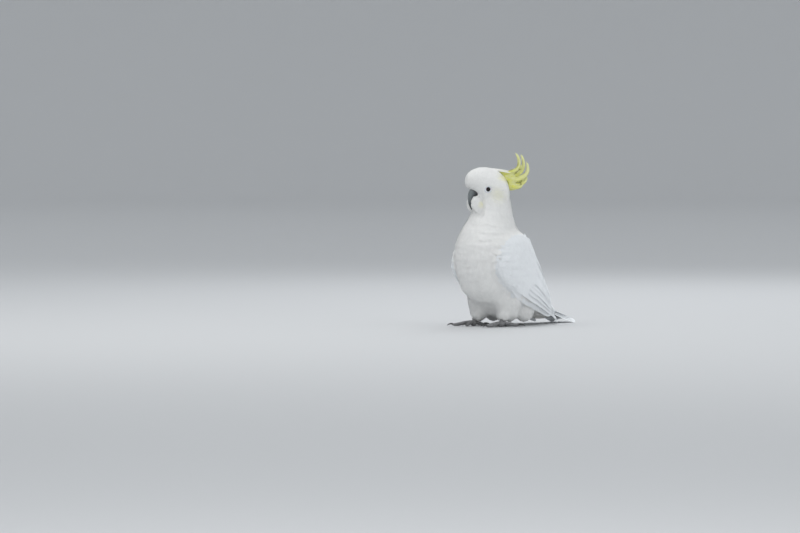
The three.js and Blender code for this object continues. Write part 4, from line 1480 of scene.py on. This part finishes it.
def grow_wing(side, surfaces, skin_map, rng):
    """Coverts on the inner face of one wing, and its flight feathers."""
    wing = surfaces["wing_" + side]

    def spacing(points):
        return covert_length(side, points) * INNER_COVERTS["spacing"]

    roots = wing.scatter(spacing, rng)
    t, c = wing_place(side, roots)
    _, normal, _, _ = wing.nearest(roots)
    inner = (normal * wing_outward(side, t)).sum(-1) < INNER_COVERTS["facing"]
    clear = surfaces["body"].signed_distance(roots) > -3 * MM
    keep = clear & inner & (t > INNER_COVERTS["start"]) & (t < INNER_COVERTS["end"])
    keep &= c > INNER_COVERTS["low"]
    roots, t = roots[keep], t[keep]
    length = jittered(rng, covert_length(side, roots) * (0.85 - 0.4 * smoothstep(0.55, 0.75, t)), 0.1)
    half = length * 0.22
    # painted bluish sky shade, as on the outer coverts
    tint = np.repeat(PAINTED_SKY_COOL[None], len(roots), 0)
    shapes = [covert_template(rng) for _ in range(4)]
    coats = {}
    sizes = (length, np.full(len(roots), 1.6 * MM), length * 0.004, half, bowed(half, 70 * MM), 0.55)
    regions = np.repeat("coverts_" + side, len(roots))
    plant(coats, roots, wing, wing_lie(side), sizes, skin_map, tint, rng, shapes, regions)
    flight = Coat()
    for row in (PRIMARIES, SECONDARIES):
        vane = flight_template(26, 7, row["tip"])
        path, ups, half = flight_row(side, wing, row)
        # painted bluish sky shade on the flight feathers
        tint = PAINTED_SKY_COOL * (1 + 0.015 * rng.uniform(-1, 1, (len(path), 1)))
        patches = map_places(skin_map, path[:, 0])
        flight.add(vane, path, ups, half, bowed(half, 75 * MM), 0.5 * MM, tint, patches, soft=0.35)
    coats["flight_" + side] = flight
    return coats


# ------------------------------------------------------------------ tail
TAIL = dict(
    count=12, root=(132, 52), knee=(208, 20), tip=(268, 2.6), root_half=12, tip_half=26,
    shorter=13, drop=5.0, sag=3.0, rise=4.6, roof=0.85, half_width=9.5, step=0.45, ragged=3,
)


def bezier(points, t):
    """A curve through its handles at the shares t: 3 or 4 handles."""
    level = [np.asarray(p, float)[None] + 0 * t[:, None] for p in points]
    while len(level) > 1:
        level = [a * (1 - t[:, None]) + b * t[:, None] for a, b in zip(level[:-1], level[1:])]
    return level[0]


def tail_handles(place, worn):
    """Root, knee and tip of the shaft at a place from -1 to 1 across the tail, in the bird's frame."""
    bend = place**2
    halves = (TAIL["root_half"], (TAIL["root_half"] + TAIL["tip_half"]) / 2, TAIL["tip_half"])
    root, knee, tip = (place * half for half in halves)
    drop = TAIL["drop"] * bend
    return [
        (root, TAIL["root"][0], TAIL["root"][1] - drop),
        (knee, TAIL["knee"][0], TAIL["knee"][1] - drop),
        (tip, TAIL["tip"][0] - TAIL["shorter"] * bend - worn, TAIL["tip"][1] - TAIL["sag"] * bend),
    ]


def grow_tail(skin_map, rng):
    """Stiff feathers stacked from the sides to the middle one, under a shallow roof."""
    coat = Coat()
    t = np.linspace(0, 1, 18)
    paths, ups = [], []
    for i in range(TAIL["count"]):
        place = 2 * i / (TAIL["count"] - 1) - 1
        path = bezier(tail_handles(place, TAIL["ragged"] * rng.random()), t)
        path[:, 2] += 1.8 + TAIL["rise"] * t**2 - TAIL["step"] * abs(i - (TAIL["count"] - 1) / 2)
        across = unit(np.array([1, 0, -TAIL["roof"] * place * abs(place)]))
        paths.append(on_bird(path))
        ups.append(unit(np.cross(across, unit(np.gradient(path, axis=0)))))
    path, up = np.array(paths), np.array(ups)
    half = TAIL["half_width"] * MM
    # painted bluish sky shade on the tail, as on the wings
    tint = np.repeat(PAINTED_SKY_COOL[None], len(path), 0)
    patches = map_places(skin_map, path[:, 0])
    vane = flight_template(26, 7, 0.13)
    coat.add(vane, path, up, half, half * 0.05, 0.4 * MM, tint, patches, soft=0.3)
    return {"tail_feathers": coat}


# ------------------------------------------------------------------ crest
# Root, two handles and tip (forwards, up), offset to the left and width, in the head's frame.
CREST_FEATHERS = [
    [-14, 339, -56, 333, -80, 344, -73, 365, 3.5, 10],
    [-16, 339, -60, 326, -90, 346, -67, 382, 0, 12],
    [-22, 335, -64, 317, -101, 338, -82, 378, -3, 13],
    [-28, 330, -64, 311, -105, 324, -94, 362, 2.5, 14],
    [-34, 324, -62, 304, -92, 307, -93, 331, -2, 14],
    [-39, 318, -58, 302, -78, 303, -82, 313, 2, 13],
    [-42, 312, -54, 301, -62, 300, -68, 305, -1, 9],
]
CREST_SPREAD = (0.4, 1.5)  # share of the offset at root and tip
CREST_COVER = dict(
    start=(10, 342), over=(-24, 342.5), end=(-60, 337.5), half_height=5.0, half_width=9.5, taper=0.5,
)
CREST_VANES = 7
CREST_STEPS = 20
CREST_SPLAY = 0.17  # how far the vanes of one feather part above and below it, as a share of its width
YELLOW = np.array([0.74, 0.75, 0.12])
PALE_YELLOW = np.array([0.86, 0.87, 0.42])
PALE_TIP = (0.90, 0.91, 0.55)


def crest_path(row, shift, rise, longer):
    """One long feather beside a crest feather of the CAD, shift to the left of it and rise above it."""
    p0, z0, p1, z1, p2, z2, p3, z3, q, _ = row
    tip_p, tip_z = p2 + (p3 - p2) * longer, z2 + (z3 - z2) * longer
    handles = [
        (p0, q * CREST_SPREAD[0] + shift * 0.5, z0),
        (p1, q + shift * 0.8, z1 + rise * 0.5),
        (p2 - rise, q + shift, z2),
        (tip_p - rise, q * CREST_SPREAD[1] + shift * 1.3, tip_z),
    ]
    return on_head(bezier(handles, np.linspace(0, 1, CREST_STEPS)))


def crest_lines():
    """Points and directions along all the long crest feathers."""
    paths = [crest_path(row, 0, 0, 1) for row in CREST_FEATHERS]
    return np.concatenate(paths), np.concatenate([unit(np.gradient(path, axis=0)) for path in paths])


def crest_lie(points):
    places, ways = crest_lines()
    return unit(nearness(points, places, 4 * MM) @ ways)


def yellows(pale):
    return YELLOW + (PALE_YELLOW - YELLOW) * np.asarray(pale)[:, None]


def crest_template(rows=22, columns=5):
    """A long curved vane that narrows to a rounded point, with a raised shaft."""
    shape = Template()
    rings = []
    for t in 1 - (1 - np.linspace(0, 1, rows)) ** 1.4:
        end = np.clip((t - 0.86) / 0.14, 0, 1)
        half = vane_width(t, 0.35, 0.45) * (1 - 0.50 * smoothstep(0.5, 1.05, t))
        half *= math.sqrt(max(1 - end**2, 0.001))
        ring = shape.ring(t, -half, half, columns)
        shape.rise[ring[columns // 2]] += 0.10 * (1 - t)
        rings.append(ring)
    shape.strip(rings)
    return shape.done()


def long_crest(coat, skin_map, rng):
    vane = crest_template()
    for row in CREST_FEATHERS:
        for k in range(CREST_VANES):
            place = 2 * k / (CREST_VANES - 1) - 1
            shift = place * 3.0
            rise = row[9] * CREST_SPLAY * rng.uniform(-1, 1)
            longer = 1 - 0.22 * abs(place) * rng.random() - 0.08 * rng.random()
            path = crest_path(row, shift, rise, longer)[None]
            up = np.repeat(head_left[None, None], CREST_STEPS, 1) * (1 if shift >= 0 else -1)
            half = row[9] * rng.uniform(0.2, 0.27) * MM
            tint = yellows([rng.uniform(0, 0.7)])
            patch = map_places(skin_map, path[:, 0])
            coat.add(vane, path, up, half, half * 0.22, 0.45 * MM, tint, patch, soft=0.25)


def short_crest(coat, crest, skin_map, rng):
    """Shorter yellow feathers that fill the crest round its root."""
    roots = crest.scatter(lambda points: 0 * points[:, 0] + 3.0 * MM, rng)
    head = in_head(roots)
    roots = roots[(head[:, 0] > -74) & (head[:, 0] < -26) & (head[:, 2] < 340)]
    length = jittered(rng, np.full(len(roots), 22 * MM), 0.25)
    depth = np.full(len(roots), 1.0 * MM)
    path, ups = traced(crest, crest_lie, roots, length, depth, length * 0.015)
    tint = yellows(0.1 + 0.6 * rng.random(len(roots)))
    shape = contour_template(rng, 7, 5, 3, split=0.70, fray=0.5)
    sizes = (length * 0.15, length * 0.03, length * 0.01)
    coat.add(shape, path, ups, *sizes, tint, map_places(skin_map, roots), soft=0.5)


def crown_cover(skin_map, rng, count=130):
    """Long white feathers of the crown that lie over the roots of the yellow ones."""
    cover = CREST_COVER
    t = np.linspace(0, 1, 9)
    paths, ups, tints = [], [], []
    for k in range(count):
        back = k / (count - 1)
        start = 0.62 * back + 0.04 * rng.uniform(-1, 1)
        side = rng.uniform(-1, 1)
        along = np.clip(start + t * rng.uniform(0.36, 0.46), 0, 1.04)
        middle = bezier([cover["start"], cover["over"], cover["end"]], along)
        taper = 1 - cover["taper"] * along
        q = side * cover["half_width"] * taper * (0.9 - 0.15 * t)
        height = cover["half_height"] * taper * np.sqrt(1 - (0.85 * side) ** 2)
        height = height + 0.8 - 2.4 * (1 - t) ** 1.3 - 1.2 * back
        paths.append(on_head(np.stack([middle[:, 0], q, middle[:, 1] + height], -1)))
        ups.append(np.repeat(unit(head_direction([[0.05, 0.9 * side, 1.0]])), len(t), 0))
        tints.append(WHITE + (LEMON - WHITE) * 0.22 * back)
    path, up, tint = np.array(paths), np.array(ups), np.array(tints)
    coat = Coat()
    half = jittered(rng, np.full(count, 3.6 * MM), 0.15)
    shape = contour_template(rng, 7, 6, 3, split=0.68, fray=0.7)
    sizes = (half, half * 0.2, half * 0.08)
    coat.add(shape, path, up, *sizes, tint, map_places(skin_map, path[:, 0]), soft=0.6)
    return coat


def grow_crest(crest, skin_map, rng):
    """Long upturned feathers, short yellow ones round their roots and white ones over the crown."""
    coat = Coat()
    long_crest(coat, skin_map, rng)
    short_crest(coat, crest, skin_map, rng)
    return {"crest_feathers": coat, "crown_cover": crown_cover(skin_map, rng)}


# ------------------------------------------------------------------ legs and claws
SCUTE_PITCH, SCUTE_DEPTH = 3.3 * MM, 0.6 * MM
GRAIN_DEPTH = 0.12 * MM  # of the small grains on the sides of the toes
SHANK_FROM, SHANK_FULL = 20 * MM, 30 * MM  # heights where the plates change from the toes' way to the shank's
SOLE = 0.6 * MM, 1.6 * MM  # heights between which the relief fades out towards the flat sole


def scaly(obj, side):
    """Cuts the gaps between the cross plates on top of the toes, and rounds grains on their sides."""
    surface = Surface(obj)
    co, no = surface.co, surface.no
    low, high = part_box("shank_" + side)
    palm = np.array([(low[0] + high[0]) / 2, (low[1] + high[1]) / 2, 0.0])
    away = np.linalg.norm(co[:, :2] - palm[:2], axis=-1)
    shank = smoothstep(SHANK_FROM, SHANK_FULL, co[:, 2])
    run = away * (1 - shank) + co[:, 2] * shank
    top = smoothstep(-0.1, 0.5, no[:, 2] * (1 - shank) + shank)
    plate = np.abs(np.sin(np.pi * run / SCUTE_PITCH)) ** 0.5
    grain = np.sin(co[:, 0] * 2600) * np.sin(co[:, 1] * 2900 + 1) * np.sin(co[:, 2] * 3100 + 2)
    depth = SCUTE_DEPTH * (1 - plate) * top + GRAIN_DEPTH * (1 - grain) * (1 - top)
    return press(obj, surface, smoothstep(*SOLE, co[:, 2]) * depth)


def make_legs():
    """Shank and foot of each leg in one scaly skin that stands on the floor."""
    legs = []
    for side in SIDES:
        leg = remeshed(joined_nodes("leg_" + side, ["shank_" + side, "foot_" + side]), LEG_VOXEL, 4)
        co = coordinates(leg.data)
        co[:, 2] = np.maximum(co[:, 2], 0)
        set_coordinates(leg.data, co)
        legs.append(covered(scaly(leg, side), leg_skin))
    return legs


def make_claws():
    for side in SIDES:
        names = [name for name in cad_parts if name.startswith("claw_" + side)]
        claws = remeshed(joined_nodes("claws_" + side, names), CLAW_VOXEL, 10)
        covered(smooth_shaded(claws), claw_material())
        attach(claws, "root")
        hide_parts(*names)


# ------------------------------------------------------------------ the skin
def flesh_depth(points):
    """How far the skin lies inside the tips of the coat."""
    return coat_size(points)[1] * 1.35 + 0.35 * MM


def make_skin():
    """One skin over all the flesh: body, wings, legs and lids."""
    body = creased(outer_surface("skin", FLESH + ["eye_left", "eye_right", "cere"]))
    covered(sunk(body, flesh_depth), skin_material())
    legs = make_legs()
    lids = [covered(eyelid(side, sign), ring_skin) for side, sign in SIDES.items()]
    unwrap(smooth_shaded(joined([body, *legs, *lids])))
    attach(body, "root")
    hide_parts(*FLESH, *LEGS)
    return body


# ------------------------------------------------------------------ the whole bird
COAT_SLOTS = {
    "crest_feathers": "crest",
    "flight_left": "flight_feathers",
    "flight_right": "flight_feathers",
    "tail_feathers": "flight_feathers",
}
COAT_NODES = {
    "crest_feathers": ["crest"],
    "flight_left": ["primaries_left"],
    "flight_right": ["primaries_right"],
    "tail_feathers": ["tail"],
}

rng = np.random.default_rng(20)
make_camera()
make_stage()
make_light()
leg_skin, ring_skin = leg_material(), ring_material()
skin = make_skin()
skin_map = Surface(skin)
guides = {
    "body": outer_surface("body_outer", FLESH[:5] + ["eye_left", "eye_right", "cere"]),
    "crest": outer_surface("crest_outer", ["crest"], 1.2 * MM, 6),
    "horn": outer_surface("horn_outer", ["bill_upper", "cere", "bill_lower"], 1.2 * MM, 3),
    "all": whole_surface(),
}
for side in SIDES:
    wing_nodes = ["wing_" + side, "primaries_" + side]
    guides["wing_" + side] = outer_surface("wing_outer_" + side, wing_nodes, SKIN_VOXEL, 10)
surfaces = {name: Surface(guide) for name, guide in guides.items()}
surfaces["all"] = Surface(wavy(creased(filleted(guides["all"], surfaces))))
coats = grow_body(surfaces, skin_map, rng)
for side in SIDES:
    for name, coat in grow_wing(side, surfaces, skin_map, rng).items():
        coats.setdefault(name, Coat()).merge(coat)
coats.update(grow_tail(skin_map, rng))
coats.update(grow_crest(surfaces["crest"], skin_map, rng))
plume = feather_material("plume_white")
yellow = feather_material("plume_yellow", 0.7, pale_tip=PALE_TIP)
flight = feather_material("plume_flight", 0.65, 0.1, 0.12, barb_rate=800.0)
for name, coat in coats.items():
    slot = COAT_SLOTS.get(name, "plumage")
    material = {"plumage": plume, "crest": yellow, "flight_feathers": flight}[slot]
    piece = coat.build("coat_" + name, material)
    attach(piece, "root")
    if name in COAT_NODES:
        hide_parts(*COAT_NODES[name])
make_bill()
make_eyes()
make_claws()
for guide in guides.values():
    bpy.data.objects.remove(guide)
